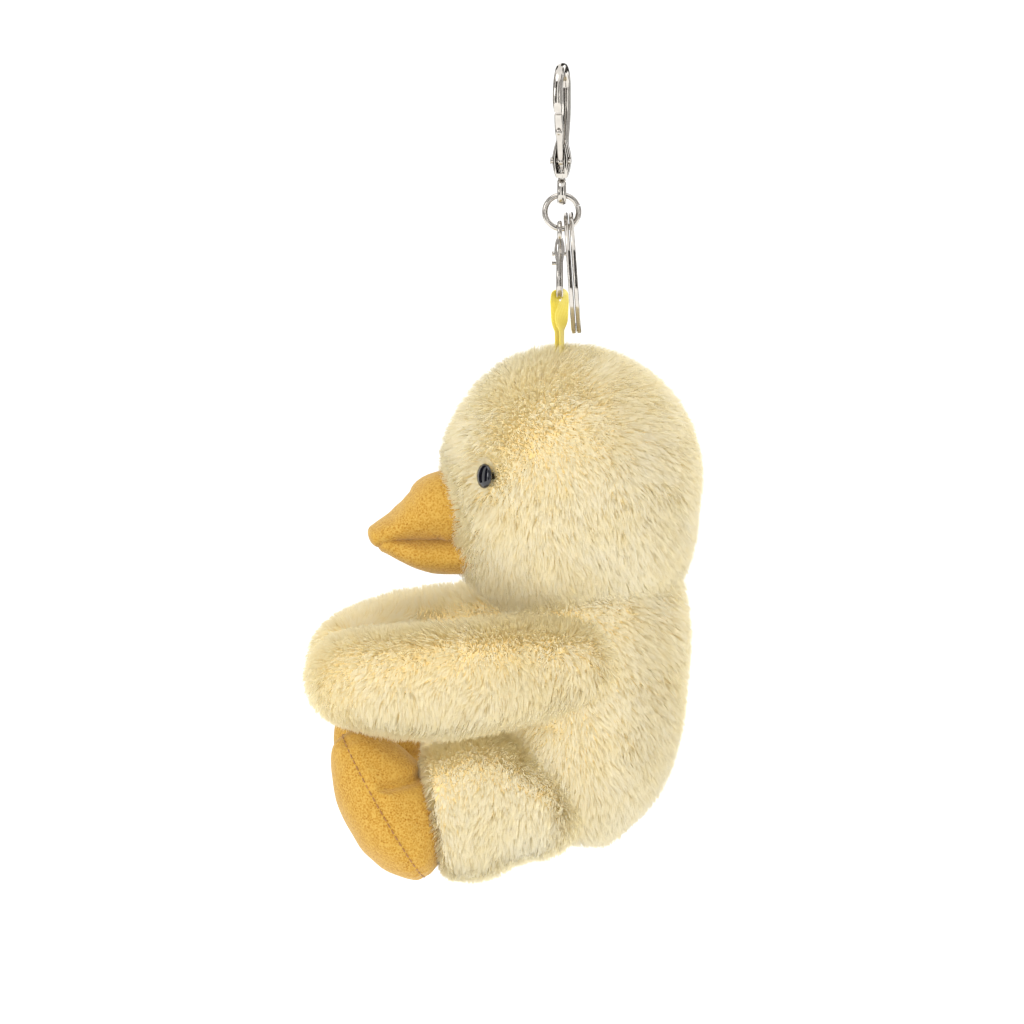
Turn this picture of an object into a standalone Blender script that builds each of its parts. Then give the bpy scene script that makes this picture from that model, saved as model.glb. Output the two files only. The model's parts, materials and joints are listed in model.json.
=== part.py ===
"""Plush duckling keychain, hanging from its snap hook.

Metres, +Z up, the duckling faces -Y and its left side is at +X. The origin is the top of the
space inside the snap hook, where a bag's ring bears. From there down the chain is: snap hook,
swivel eye, jump ring, then the split ring and the small clasp side by side, and the ribbon
loop that is sewn into the duckling's head.
"""

import math

import bmesh
import bpy
from mathutils import Matrix, Vector

# Clearances
TOUCH_GAP = 0.0003  # between pieces that rest on each other
PIN_GAP = 0.00015  # around a rivet in its hole
PLAY = 0.0001  # between linked rings at rest
SOCKET_GAP = 0.0008  # round a limb's root, so that the limb can turn

# Snap hook and small clasp: sizes in the plane of the claw, then across it
HOOK = {
    "inner_radius": 0.0046,
    "bar_half": 0.0013,
    "bar_thick": 0.00115,
    "nose_drop": 0.0086,
    "shoulder_drop": 0.0160,
    "rivet_drop": 0.0210,
    "clevis_top": 0.0160,
    "clevis_bottom": 0.0252,
    "clevis_half": 0.0027,
    "clevis_thick": 0.0023,
    "rivet_offset": 0.0012,
    "rivet_radius": 0.0006,
    "rivet_proud": 0.0002,
    "slot_half": 0.0010,
    "spring_thick": 0.0003,
    "peg_proud": 0.0,
}
CLASP = {
    "inner_radius": 0.0027,
    "bar_half": 0.00085,
    "bar_thick": 0.00085,
    "nose_drop": 0.0046,
    "shoulder_drop": 0.0074,
    "rivet_drop": 0.0094,
    "clevis_top": 0.0070,
    "clevis_bottom": 0.0132,
    "clevis_half": 0.0020,
    "clevis_thick": 0.0013,
    "rivet_offset": 0.0006,
    "rivet_radius": 0.0004,
    "rivet_proud": 0.0005,
    "slot_half": 0.0007,
    "spring_thick": 0.0002,
    "peg_proud": 0.0011,
}
HOOK_YAW = math.radians(-10)

# Swivel eye: the post turns in the floor of the hook's clevis
POST_RADIUS = 0.0009
POST_HEAD_RADIUS = 0.0015
POST_HEAD_HEIGHT = 0.0007
CLEVIS_FLOOR = 0.0011
EYE_RING_RADIUS = 0.0024
EYE_RING_WIRE = 0.0008
EYE_RING_WIDE = 0.0011

# Rings
JUMP_RING_RADIUS = 0.0041
JUMP_RING_WIRE = 0.00068
JUMP_RING_SPLIT = math.radians(5)
SPLIT_RING_OUTER = 0.0148
SPLIT_RING_WIDTH = 0.0019
SPLIT_RING_COIL = 0.0011
SPLIT_RING_GAP = 0.0002
SPLIT_RING_RAMP = math.radians(14)
SPLIT_RING_SHIFT = 0.0018  # along the jump ring's wire, towards the duckling's back
SPLIT_RING_LEAN = math.radians(4)

# Small clasp's eye and its place on the jump ring
CLASP_EYE_RADIUS = 0.0019
CLASP_EYE_WIRE = 0.0006
CLASP_SHIFT = -0.0005

# Ribbon loop, folded over the small clasp's bar
RIBBON_WIDTH = 0.0045
RIBBON_GATHERED = 0.0030  # its width where it is gathered in the claw
RIBBON_THICK = 0.0006
RIBBON_LAYER_GAP = 0.0004
RIBBON_NECK_DROP = 0.0085  # from the bar to where the two layers meet
RIBBON_TAIL_DROP = 0.0230  # from the bar to the sewn ends inside the head

# Plush fabric with its pile, and suede
PILE_WALL = 0.0048
SUEDE_WALL = 0.0012

# Head: a ball
HEAD_RADIUS = 0.0325
HEAD_TOP_DROP = 0.0118  # from the clasp's bar to the top of the head
HEAD_FORWARD = 0.0022
NECK_OPENING = 0.0130

# Beak, each half as ribs: (out from the face, below the head's centre, half width, half height)
BEAK_UPPER = (
    (-0.0075, 0.0073, 0.0118, 0.0091),
    (-0.0009, 0.0084, 0.0112, 0.0081),
    (0.0065, 0.0115, 0.0092, 0.0045),
    (0.0109, 0.0131, 0.0078, 0.0028),
    (0.0143, 0.0146, 0.0062, 0.0018),
)
BEAK_LOWER = (
    (-0.0075, 0.0203, 0.0096, 0.0036),
    (-0.0003, 0.0201, 0.0089, 0.0033),
    (0.0073, 0.0190, 0.0073, 0.0027),
    (0.0123, 0.0178, 0.0058, 0.0016),
)
BEAK_TIP = 0.0026

# Eyes: a moulded dome and shank, locked by a washer behind the fabric
EYE_RADIUS = 0.0030
EYE_HEIGHT = 0.0022
EYE_SINK = 0.0013  # how far the dome's base lies below the tips of the pile
EYE_SPREAD = math.radians(47)
EYE_LIFT = math.radians(6)
SHANK_RADIUS = 0.0010
SHANK_LENGTH = 0.0088
WASHER_RADIUS = 0.0038
WASHER_THICK = 0.0009

# Body, as ribs from the neck down: (below the head's lowest point, front, back, half width)
BODY = (
    (-0.0090, -0.0090, 0.0312, 0.0190),
    (0.0005, -0.0140, 0.0323, 0.0240),
    (0.0145, -0.0160, 0.0316, 0.0275),
    (0.0275, -0.0170, 0.0302, 0.0285),
    (0.0395, -0.0165, 0.0258, 0.0272),
    (0.0495, -0.0130, 0.0172, 0.0220),
)
BODY_CAP = 0.0080
BODY_TOP_CAP = 0.0075

# Pellet pouch in the seat
POUCH_RADII = (0.0160, 0.0090, 0.0135)
POUCH_PLACE = (0.0, 0.0155, 0.0235)  # z is below the neck

# Arm: the shoulder's ball, then ribs (outward, forward, below the neck, half width, half height)
SHOULDER = (0.0225, -0.0030, 0.0100)
SHOULDER_BALL = 0.0115
ARM = (
    (0.0268, 0.0070, 0.0107, 0.0112, 0.0134),
    (0.0290, 0.0175, 0.0118, 0.0122, 0.0146),
    (0.0292, 0.0290, 0.0131, 0.0126, 0.0149),
    (0.0258, 0.0405, 0.0139, 0.0128, 0.0144),
    (0.0182, 0.0496, 0.0147, 0.0128, 0.0138),
    (0.0105, 0.0530, 0.0155, 0.0118, 0.0129),
)
ARM_CAP = 0.0085

# Leg: the hip's ball, then ribs as for the arm
HIP = (0.0165, 0.0070, 0.0460)
HIP_BALL = 0.0138
LEG = (
    (0.0172, 0.0170, 0.0457, 0.0142, 0.0174),
    (0.0175, 0.0230, 0.0472, 0.0146, 0.0176),
    (0.0175, 0.0285, 0.0487, 0.0144, 0.0166),
)
LEG_CAP = 0.0060

# Foot: a flattened pillow with its toes up
FOOT_PLACE = (0.0175, 0.0424, 0.0472)
FOOT_RADII = (0.0148, 0.0118, 0.0186)
FOOT_TILT = math.radians(30)
FOOT_FULLNESS = 2.5  # 2 is an ellipsoid, more is squarer

# How finely the round forms are divided
SIDES = 14
LIMB_SIDES = 12
INNER_SIDES = 8
STEPS = 2


def clear_scene():
    for old in list(bpy.data.objects):
        bpy.data.objects.remove(old, do_unlink=True)


def material(name, colour, roughness, metallic=0.0):
    made = bpy.data.materials.new(name)
    made.use_nodes = True
    shader = made.node_tree.nodes["Principled BSDF"]
    shader.inputs["Base Color"].default_value = (*colour, 1)
    shader.inputs["Roughness"].default_value = roughness
    shader.inputs["Metallic"].default_value = metallic
    return made


def put(name, bm, finish=None, parent=None, smooth_angle=40):
    """Make an object of a bmesh whose points are already in its parent's space."""
    bmesh.ops.recalc_face_normals(bm, faces=bm.faces)
    mesh = bpy.data.meshes.new(name)
    bm.to_mesh(mesh)
    bm.free()
    mesh.shade_smooth()
    mesh.set_sharp_from_angle(angle=math.radians(smooth_angle))
    made = bpy.data.objects.new(name, mesh)
    bpy.context.scene.collection.objects.link(made)
    made.parent = parent
    if finish:
        mesh.materials.append(finish)
    return made


def tool(name, bm, parent=None):
    """A cutter, or a shape that is joined on: it is no piece of its own."""
    made = put(name, bm, parent=parent)
    made.hide_render = True
    made.display_type = "WIRE"
    return made


def boolean(piece, operation, *others):
    for other in others:
        step = piece.modifiers.new(other.name, "BOOLEAN")
        step.operation = operation
        step.solver = "EXACT"
        step.object = other


def empty(name, place, turn=Matrix.Identity(3), parent=None):
    made = bpy.data.objects.new(name, None)
    made.empty_display_size = 0.005
    bpy.context.scene.collection.objects.link(made)
    made.matrix_world = Matrix.Translation(place) @ turn.to_4x4()
    made.parent = parent
    return made


def oval(centre, side, up, sides=SIDES):
    """Points round an oval whose half axes are the vectors side and up."""
    turns = [2 * math.pi * i / sides for i in range(sides)]
    return [centre + side * math.cos(t) + up * math.sin(t) for t in turns]


def skinned(rings, closed=False):
    """A closed surface through rings of points. Its ends are flat, or they meet."""
    bm = bmesh.new()
    loops = [[bm.verts.new(point) for point in ring] for ring in rings]
    pairs = list(zip(loops, loops[1:]))
    if closed:
        pairs.append((loops[-1], loops[0]))
    for first, second in pairs:
        for i in range(len(first)):
            j = (i + 1) % len(first)
            bm.faces.new((first[i], first[j], second[j], second[i]))
    if not closed:
        bm.faces.new(loops[0][::-1])
        bm.faces.new(loops[-1])
    return bm


def smooth_through(rows, steps=STEPS):
    """Rows of numbers on a smooth curve (Catmull-Rom) through the given rows."""
    ends = [[2 * a - b for a, b in zip(rows[0], rows[1])]]
    far = [[2 * a - b for a, b in zip(rows[-1], rows[-2])]]
    known = ends + [list(row) for row in rows] + far
    found = []
    for k in range(1, len(known) - 2):
        for step in range(steps):
            t = step / steps
            weights = (
                -0.5 * t + t**2 - 0.5 * t**3,
                1 - 2.5 * t**2 + 1.5 * t**3,
                0.5 * t + 2 * t**2 - 1.5 * t**3,
                -0.5 * t**2 + 0.5 * t**3,
            )
            near = known[k - 1 : k + 3]
            found.append([sum(w * row[i] for w, row in zip(weights, near)) for i in range(len(rows[0]))])
    return found + [list(rows[-1])]


def directions(points):
    spans = [b - a for a, b in zip(points, points[1:])]
    inner = [(a.normalized() + b.normalized()).normalized() for a, b in zip(spans, spans[1:])]
    return [spans[0].normalized(), *inner, spans[-1].normalized()]


def soft_form(ribs, reference, cap, first_cap=None, grow=0.0, sides=SIDES):
    """A stuffed form: ribs of (place, half width, half height) with rounded ends."""
    points = [Vector(rib[:3]) for rib in ribs]
    rings = []
    ends = ((0, -1, first_cap), (len(ribs) - 1, 1, cap))
    angles = [math.radians(a) for a in (32, 62, 84)]
    heading = directions(points)

    def ring(i, along, share):
        side = heading[i].cross(reference).normalized()
        up = side.cross(heading[i])
        wide, high = (max(half + grow, 0.0008) * share for half in ribs[i][3:5])
        return oval(points[i] + heading[i] * along, side * wide, up * high, sides)

    rings += [ring(i, 0, 1) for i in range(len(ribs))]
    for i, way, length in ends:
        if length is None:
            continue
        reach = way * max(length + grow, 0.0005)
        tips = [ring(i, reach * math.sin(a), math.cos(a)) for a in angles]
        rings = tips[::-1] + rings if way < 0 else rings + tips
    return skinned(rings)


def pivot(name, place, *pieces):
    """An empty on a joint's axis, which carries the pieces that turn about it."""
    made = empty(name, place)
    for piece in pieces:
        piece.parent = made
        piece.matrix_parent_inverse = Matrix.Translation(-Vector(place))
    return made


def ball(centre, radii, turn=Matrix.Identity(3), around=22, along=11, fullness=2.0):
    bm = bmesh.new()
    bmesh.ops.create_uvsphere(bm, u_segments=around, v_segments=along, radius=1)
    for vert in bm.verts:
        vert.co /= sum(abs(c) ** fullness for c in vert.co) ** (1 / fullness)
    shape = Matrix.Translation(centre) @ turn.to_4x4() @ Matrix.Diagonal((*radii, 1))
    bmesh.ops.transform(bm, matrix=shape, verts=bm.verts)
    return bm


def rod(start, end, radius, sides=12):
    start, end = Vector(start), Vector(end)
    heading = (end - start).normalized()
    side = heading.orthogonal().normalized()
    up = heading.cross(side)
    return skinned([oval(p, side * radius, up * radius, sides) for p in (start, end)])


def block(low, high):
    bm = bmesh.new()
    bmesh.ops.create_cube(bm, size=1)
    low, high = Vector(low), Vector(high)
    shape = Matrix.Translation((low + high) / 2) @ Matrix.Diagonal((*(high - low), 1))
    bmesh.ops.transform(bm, matrix=shape, verts=bm.verts)
    return bm


def swept(stations, across, sides=10, closed=False):
    """A bar along a flat path. Stations are (point, half in the plane, half across it)."""
    points = [Vector(s[0]) for s in stations]
    if closed:
        heading = directions([points[-1], *points, points[0]])[1:-1]
    else:
        heading = directions(points)
    rings = [
        oval(p, h.cross(across).normalized() * s[1], across * s[2], sides)
        for p, h, s in zip(points, heading, stations)
    ]
    return skinned(rings, closed)


def arc(centre, radius, start, end, count):
    """Points (across, down) on an arc; angles in degrees, 90 at the top."""
    steps = [math.radians(start + (end - start) * i / count) for i in range(count + 1)]
    return [(centre[0] + radius * math.cos(t), centre[1] + radius * math.sin(t)) for t in steps]


ACROSS = Vector((0, 1, 0))


def claw_path(size):
    """The claw from its nose, over the bight and down the spine: (outward, height)."""
    mean = size["inner_radius"] + size["bar_half"]
    bow = arc((0, -size["inner_radius"]), mean, 0, 180, 10)
    nose = [(mean * 0.88, -size["nose_drop"]), (mean * 0.97, -(size["inner_radius"] + size["nose_drop"]) / 2)]
    spine = [
        (-mean * 0.97, -(size["inner_radius"] + size["shoulder_drop"]) / 2),
        (-size["clevis_half"] * 1.25, -size["shoulder_drop"]),
        (-size["clevis_half"] * 0.72, -size["rivet_drop"]),
    ]
    return nose + bow + spine


def clasp_body(name, size, finish, frame):
    """Claw and clevis in one casting, slotted for the gate and drilled for its rivet."""
    half, thick = size["bar_half"], size["bar_thick"]
    path = claw_path(size)
    stations = [((x, 0, z), half, thick) for x, z in path]
    stations[0] = (stations[0][0], half * 0.72, thick * 0.8)
    body = put(name, swept(stations, ACROSS, 8), finish, frame)

    top, bottom = size["clevis_top"], size["clevis_bottom"]
    wide, deep = size["clevis_half"], size["clevis_thick"]
    shares = ((0, 0.62, 0.55), (0.22, 0.92, 0.8), (0.5, 1, 1), (0.8, 0.88, 0.86), (1, 0.6, 0.6))
    rings = [
        oval(Vector((0, 0, -top - (bottom - top) * down)), Vector((wide * w, 0, 0)), ACROSS * deep * d)
        for down, w, d in shares
    ]
    boolean(body, "UNION", tool(name + "_clevis", skinned(rings), frame))

    slot = block(
        (-wide * 0.66, -size["slot_half"], -bottom + CLEVIS_FLOOR),
        (wide * 1.6, size["slot_half"], -top + half),
    )
    x, z = size["rivet_offset"], -size["rivet_drop"]
    hole = rod((x, -deep * 1.5, z), (x, deep * 1.5, z), size["rivet_radius"] + PIN_GAP)
    boolean(body, "DIFFERENCE", tool(name + "_slot", slot, frame), tool(name + "_hole", hole, frame))
    return body


def clasp_gate(name, size, finish, frame):
    """The gate: a foot in the slot, a thumb tab on its outer side, a tip under the nose."""
    mean = size["inner_radius"] + size["bar_half"]
    x, z = size["rivet_offset"], -size["rivet_drop"]
    tip_z = -size["nose_drop"] - size["bar_half"] * 0.5
    tip_x = mean * 0.84
    foot_thick = size["slot_half"] - PIN_GAP
    foot_half = size["rivet_radius"] + PIN_GAP + 0.0003
    full = size["bar_thick"] * 0.92

    def between(share):
        return (x + (tip_x - x) * share**1.35, 0, z + (tip_z - z) * share)

    stations = [
        ((x, 0, z - foot_half * 0.9), foot_half * 0.6, foot_thick),
        ((x, 0, z - foot_half * 0.3), foot_half, foot_thick),
        ((x, 0, z + foot_half * 0.4), foot_half, foot_thick),
        (between(0.30), foot_half, foot_thick),
        (between(0.48), size["bar_half"] * 0.8, foot_thick),
        (between(0.62), size["bar_half"] * 0.85, full),
        (between(0.8), size["bar_half"] * 0.8, full),
        (between(1.0), size["bar_half"] * 0.6, full * 0.9),
    ]
    gate = put(name, swept(stations, ACROSS, 8), finish, frame)
    thumb = Vector(between(0.62)) + Vector((size["bar_half"] * 1.15, 0, 0))
    tab = ball(thumb, (size["bar_half"] * 0.75, full * 0.8, size["bar_half"] * 0.6), around=12, along=6)
    boolean(gate, "UNION", tool(name + "_tab", tab, frame))
    if size["peg_proud"]:
        peg_at = Vector(between(0.55))
        peg = rod(peg_at, peg_at - ACROSS * (full + size["peg_proud"]), size["bar_half"] * 0.5, 12)
        boolean(gate, "UNION", tool(name + "_peg", peg, frame))
    hole = rod((x, -0.01, z), (x, 0.01, z), size["rivet_radius"] + PIN_GAP)
    boolean(gate, "DIFFERENCE", tool(name + "_hole", hole, frame))
    return gate


def clasp_rivet(name, size, finish, frame):
    x, z = size["rivet_offset"], -size["rivet_drop"]
    reach = size["clevis_thick"] + size["rivet_proud"]
    rivet = put(name, rod((x, -reach, z), (x, reach, z), size["rivet_radius"]), finish, frame)
    head = size["rivet_radius"] * 1.7
    lip = size["clevis_thick"] + PIN_GAP
    for side in (-1, 1):
        cap = rod((x, side * lip, z), (x, side * (reach + 0.0001), z), head)
        boolean(rivet, "UNION", tool(f"{name}_head_{side + 1}", cap, frame))
    return rivet


def clasp_spring(name, size, finish, frame):
    """A leaf spring that stands in the slot behind the gate."""
    back = -size["clevis_half"] * 0.66 + PIN_GAP
    low = -size["rivet_drop"] + size["bar_half"] * 0.3
    return put(
        name,
        block(
            (back, -size["slot_half"] * 0.7, low),
            (back + size["spring_thick"], size["slot_half"] * 0.7, low + size["bar_half"] * 2),
        ),
        finish,
        frame,
    )


def build_clasp(prefix, size, finish, frame):
    gate_axis = empty(prefix + "_gate_axis", (size["rivet_offset"], 0, -size["rivet_drop"]), parent=frame)
    body = clasp_body(prefix + "_body", size, finish, frame)
    gate = clasp_gate(prefix + "_gate", size, finish, frame)
    clasp_rivet(prefix + "_rivet", size, finish, frame)
    clasp_spring(prefix + "_spring", size, finish, frame)
    # the gate's own origin lies on its rivet
    offset = gate_axis.location
    gate.data.transform(Matrix.Translation(-offset))
    gate.location = offset
    return body, gate


def circle_stations(radius, half, start=0.0, end=2 * math.pi, count=32, closed=False, across=None):
    steps = count if closed else count - 1
    turns = [start + (end - start) * i / steps for i in range(count)]
    points = [Vector((radius * math.cos(t), 0, radius * math.sin(t))) for t in turns]
    return [(point, half, across or half) for point in points]


def build_swivel(finish, hook_frame, hook_body):
    """The swivel eye: a ring, a post through the clevis floor and a headed end."""
    floor_low = -HOOK["clevis_bottom"]
    floor_top = floor_low + CLEVIS_FLOOR
    ring_centre = floor_low - TOUCH_GAP - EYE_RING_WIRE - EYE_RING_RADIUS
    frame = empty("swivel_axis", (0, 0, ring_centre))
    stations = circle_stations(EYE_RING_RADIUS, EYE_RING_WIRE, count=22, closed=True, across=EYE_RING_WIDE)
    ring = swept(stations, ACROSS, 8, True)
    eye = put("swivel_eye", ring, finish, frame)
    head_low = floor_top + TOUCH_GAP
    head_top = head_low + POST_HEAD_HEIGHT
    post = rod((0, 0, EYE_RING_RADIUS), (0, 0, head_low - ring_centre + POST_HEAD_HEIGHT / 2), POST_RADIUS)
    head = rod((0, 0, head_low - ring_centre), (0, 0, head_top - ring_centre), POST_HEAD_RADIUS)
    boolean(eye, "UNION", tool("swivel_post", post, frame), tool("swivel_head", head, frame))
    room = rod((0, 0, floor_top), (0, 0, head_top + TOUCH_GAP), POST_HEAD_RADIUS + TOUCH_GAP)
    passage = rod((0, 0, floor_low - 0.001), (0, 0, floor_top + 0.0002), POST_RADIUS + PIN_GAP)
    boolean(
        hook_body,
        "DIFFERENCE",
        tool("hook_body_head_room", room, hook_frame),
        tool("hook_body_passage", passage, hook_frame),
    )
    return ring_centre


def build_jump_ring(finish, eye_centre):
    """It lies across the swivel eye, its top wire resting on the eye's lowest wire."""
    top_wire = eye_centre - EYE_RING_RADIUS + EYE_RING_WIRE + PLAY + JUMP_RING_WIRE
    centre = top_wire - JUMP_RING_RADIUS
    axis = eye_centre - EYE_RING_RADIUS
    frame = empty("jump_ring_axis", (0, 0, axis))
    start = math.radians(20) + JUMP_RING_SPLIT / 2
    stations = circle_stations(
        JUMP_RING_RADIUS, JUMP_RING_WIRE, start, start + 2 * math.pi - JUMP_RING_SPLIT, count=32
    )
    ring = put("jump_ring", swept(stations, ACROSS, 8), finish, frame)
    ring.data.transform(Matrix.Translation((0, 0, centre - axis)) @ Matrix.Rotation(math.radians(90), 4, "Z"))
    return centre


def build_split_ring(finish, jump_centre):
    """Two flat coils joined by a ramp, hung on the jump ring beside the small clasp."""
    wire_drop = math.sqrt(JUMP_RING_RADIUS**2 - SPLIT_RING_SHIFT**2)
    wire = Vector((0, SPLIT_RING_SHIFT, jump_centre - wire_drop))
    turn = Matrix.Rotation(SPLIT_RING_LEAN, 3, "X")
    frame = empty("split_ring_axis", wire, turn)
    mean = SPLIT_RING_OUTER - SPLIT_RING_WIDTH / 2
    slack = JUMP_RING_WIRE + TOUCH_GAP + SPLIT_RING_SHIFT * 0.36
    centre_drop = SPLIT_RING_OUTER - SPLIT_RING_WIDTH - slack
    layer = (SPLIT_RING_COIL + SPLIT_RING_GAP) / 2
    ramp_at = math.radians(-90)
    half = SPLIT_RING_WIDTH / 2
    thick = SPLIT_RING_COIL / 2

    rings = []
    flat_steps = 32
    flat = 2 * math.pi - 2 * SPLIT_RING_RAMP
    turns = [(ramp_at + SPLIT_RING_RAMP + flat * i / flat_steps, -layer) for i in range(flat_steps + 1)]
    second = turns[-1][0] + 2 * SPLIT_RING_RAMP
    turns += [(second + flat * i / flat_steps, layer) for i in range(flat_steps + 1)]
    for angle, side in turns:
        out = Vector((math.cos(angle), 0, math.sin(angle)))
        middle = out * mean + ACROSS * side - Vector((0, 0, centre_drop))
        corners = ((-half, -thick), (half, -thick), (half, thick), (-half, thick))
        rings.append([middle + out * a + ACROSS * b for a, b in corners])
    put("split_ring", skinned(rings), finish, frame, 30)
    return wire, turn


def build_small_clasp(finish, jump_centre):
    """It hangs claw down, its eye round the jump ring's lowest wire."""
    wire_drop = math.sqrt(JUMP_RING_RADIUS**2 - CLASP_SHIFT**2)
    wire_z = jump_centre - wire_drop
    eye_centre = wire_z + JUMP_RING_WIRE + PLAY - (CLASP_EYE_RADIUS - CLASP_EYE_WIRE)
    clevis_end = eye_centre - CLASP_EYE_RADIUS
    bight = clevis_end - CLASP["clevis_bottom"]
    # turned over about Y, so its own height runs down from the bight
    frame = empty("clasp_frame", (0, CLASP_SHIFT, bight), Matrix.Rotation(math.pi, 3, "Y"))
    pivot("clasp_axis", (0, CLASP_SHIFT, wire_z), frame)
    body, gate = build_clasp("clasp", CLASP, finish, frame)
    ring = swept(circle_stations(CLASP_EYE_RADIUS, CLASP_EYE_WIRE, count=20, closed=True), ACROSS, 8, True)
    bmesh.ops.translate(ring, vec=(0, 0, bight - eye_centre), verts=ring.verts)
    boolean(body, "UNION", tool("clasp_body_eye", ring, frame))
    bar = Vector((0, CLASP_SHIFT, bight - CLASP["bar_half"]))
    return bar


def build_ribbon(finish, bar):
    """Two layers sewn together below, opened round the clasp's bar."""
    mean = CLASP["inner_radius"] + CLASP["bar_half"]
    bar_rise = mean - math.sqrt(mean**2 - (RIBBON_GATHERED / 2) ** 2)
    bow = max(CLASP["bar_thick"], CLASP["bar_half"]) + bar_rise + 2 * PLAY + RIBBON_THICK / 2
    closed = (RIBBON_THICK + RIBBON_LAYER_GAP) / 2
    sides = [
        (bow * 0.98, -0.0014),
        (bow * 0.80, -0.0040),
        (closed * 1.25, -RIBBON_NECK_DROP * 0.85),
        (closed, -RIBBON_NECK_DROP),
        (closed, -RIBBON_TAIL_DROP),
    ]
    right = smooth_through(sides, 3)[::-1]
    over = [(bow * math.cos(math.radians(a)), bow * math.sin(math.radians(a))) for a in range(0, 181, 18)]
    left = [(-y, z) for y, z in right[::-1]]
    path = [Vector((0, y, z)) for y, z in right + over + left]
    half = RIBBON_THICK / 2
    wide = RIBBON_WIDTH / 2
    across = Vector((1, 0, 0))
    rings = []
    for point, heading in zip(path, directions(path)):
        out = heading.cross(across).normalized() * half
        opened = min(max(1 + point.z / RIBBON_NECK_DROP, 0), 1)
        reach = (RIBBON_WIDTH + (RIBBON_GATHERED - RIBBON_WIDTH) * opened) / 2
        corners = ((out, -reach), (out, reach), (-out, reach), (-out, -reach))
        rings.append([point + o + across * w for o, w in corners])
    frame = empty("ribbon_axis", bar)
    put("ribbon_loop", skinned(rings), finish, frame, 50)
    room = (
        Vector((-wide - TOUCH_GAP, -closed - half - TOUCH_GAP, -RIBBON_TAIL_DROP - TOUCH_GAP)),
        Vector((wide + TOUCH_GAP, closed + half + TOUCH_GAP, 0)),
    )
    return frame, tool("ribbon_slit", block(*room), frame)


def eye_turn(side):
    """Rows of a frame whose Z looks straight out of the head at the eye."""
    out = Vector((
        side * math.sin(EYE_SPREAD) * math.cos(EYE_LIFT),
        -math.cos(EYE_SPREAD) * math.cos(EYE_LIFT),
        math.sin(EYE_LIFT),
    ))
    return out.to_track_quat("Z", "Y").to_matrix()


def build_eye(label, side, finishes, head_frame, skin, filling):
    turn = eye_turn(side)
    out = turn @ Vector((0, 0, 1))
    base = HEAD_RADIUS - EYE_SINK
    frame = empty("eye_place_" + label, out * base, turn, head_frame)
    shares = (0, 25, 48, 68, 84)
    rings = [
        oval(
            Vector((0, 0, EYE_HEIGHT * math.sin(math.radians(a)))),
            Vector((EYE_RADIUS * math.cos(math.radians(a)), 0, 0)),
            Vector((0, EYE_RADIUS * math.cos(math.radians(a)), 0)),
        )
        for a in shares
    ]
    eye = put("eye_" + label, skinned(rings), finishes["eye"], frame)
    shank = rod((0, 0, 0.0004), (0, 0, -SHANK_LENGTH), SHANK_RADIUS)
    boolean(eye, "UNION", tool("eye_shank_" + label, shank, frame))
    washer_top = EYE_SINK - PILE_WALL - TOUCH_GAP
    washer_low = washer_top - WASHER_THICK
    washer = rod((0, 0, washer_top), (0, 0, washer_low), WASHER_RADIUS)
    lock = put("eye_washer_" + label, washer, finishes["washer"], frame)
    bore = rod((0, 0, 0.001), (0, 0, -SHANK_LENGTH * 1.2), SHANK_RADIUS + PIN_GAP)
    drill = tool("eye_bore_" + label, bore, frame)
    boolean(lock, "DIFFERENCE", drill)
    seat = tool("eye_seat_" + label, rod((0, 0, -TOUCH_GAP), (0, 0, 0.01), EYE_RADIUS + TOUCH_GAP), frame)
    boolean(skin, "DIFFERENCE", drill, seat)
    pocket_end = min(washer_low, -SHANK_LENGTH) - TOUCH_GAP
    pocket = rod((0, 0, washer_top + TOUCH_GAP), (0, 0, pocket_end), WASHER_RADIUS + TOUCH_GAP)
    room = tool("eye_pocket_" + label, pocket, frame)
    boolean(skin, "DIFFERENCE", room)
    boolean(filling, "DIFFERENCE", room)


def build_head(finishes, centre, ribbon_axis, slit):
    frame = empty("head_centre", centre - ribbon_axis.location, parent=ribbon_axis)
    radius = HEAD_RADIUS
    inner = radius - PILE_WALL
    skin = put("head_skin", ball((0, 0, 0), (radius,) * 3), finishes["plush"], frame)
    hollow = tool("head_hollow", ball((0, 0, 0), (inner,) * 3, around=16, along=8), frame)
    opening = rod((0, 0, 0), (0, 0, -radius * 1.1), NECK_OPENING)
    boolean(skin, "DIFFERENCE", hollow, tool("head_opening", opening, frame), slit)
    stuffing = inner - TOUCH_GAP * 2
    filling = put("head_filling", ball((0, 0, 0), (stuffing,) * 3, around=16, along=8), finishes["filling"], frame)
    boolean(filling, "DIFFERENCE", slit)
    for label, side in (("left", 1), ("right", -1)):
        build_eye(label, side, finishes, frame, skin, filling)
    keep_out = tool("head_keep_out", ball((0, 0, 0), (radius + TOUCH_GAP,) * 3), frame)
    return frame, keep_out


def beak_form(ribs, cap, grow=0.0):
    rows = [(0, -HEAD_RADIUS - out, -below, wide, high) for out, below, wide, high in ribs]
    return soft_form(rows, Vector((0, 0, 1)), cap, grow=grow, sides=SIDES)


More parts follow.
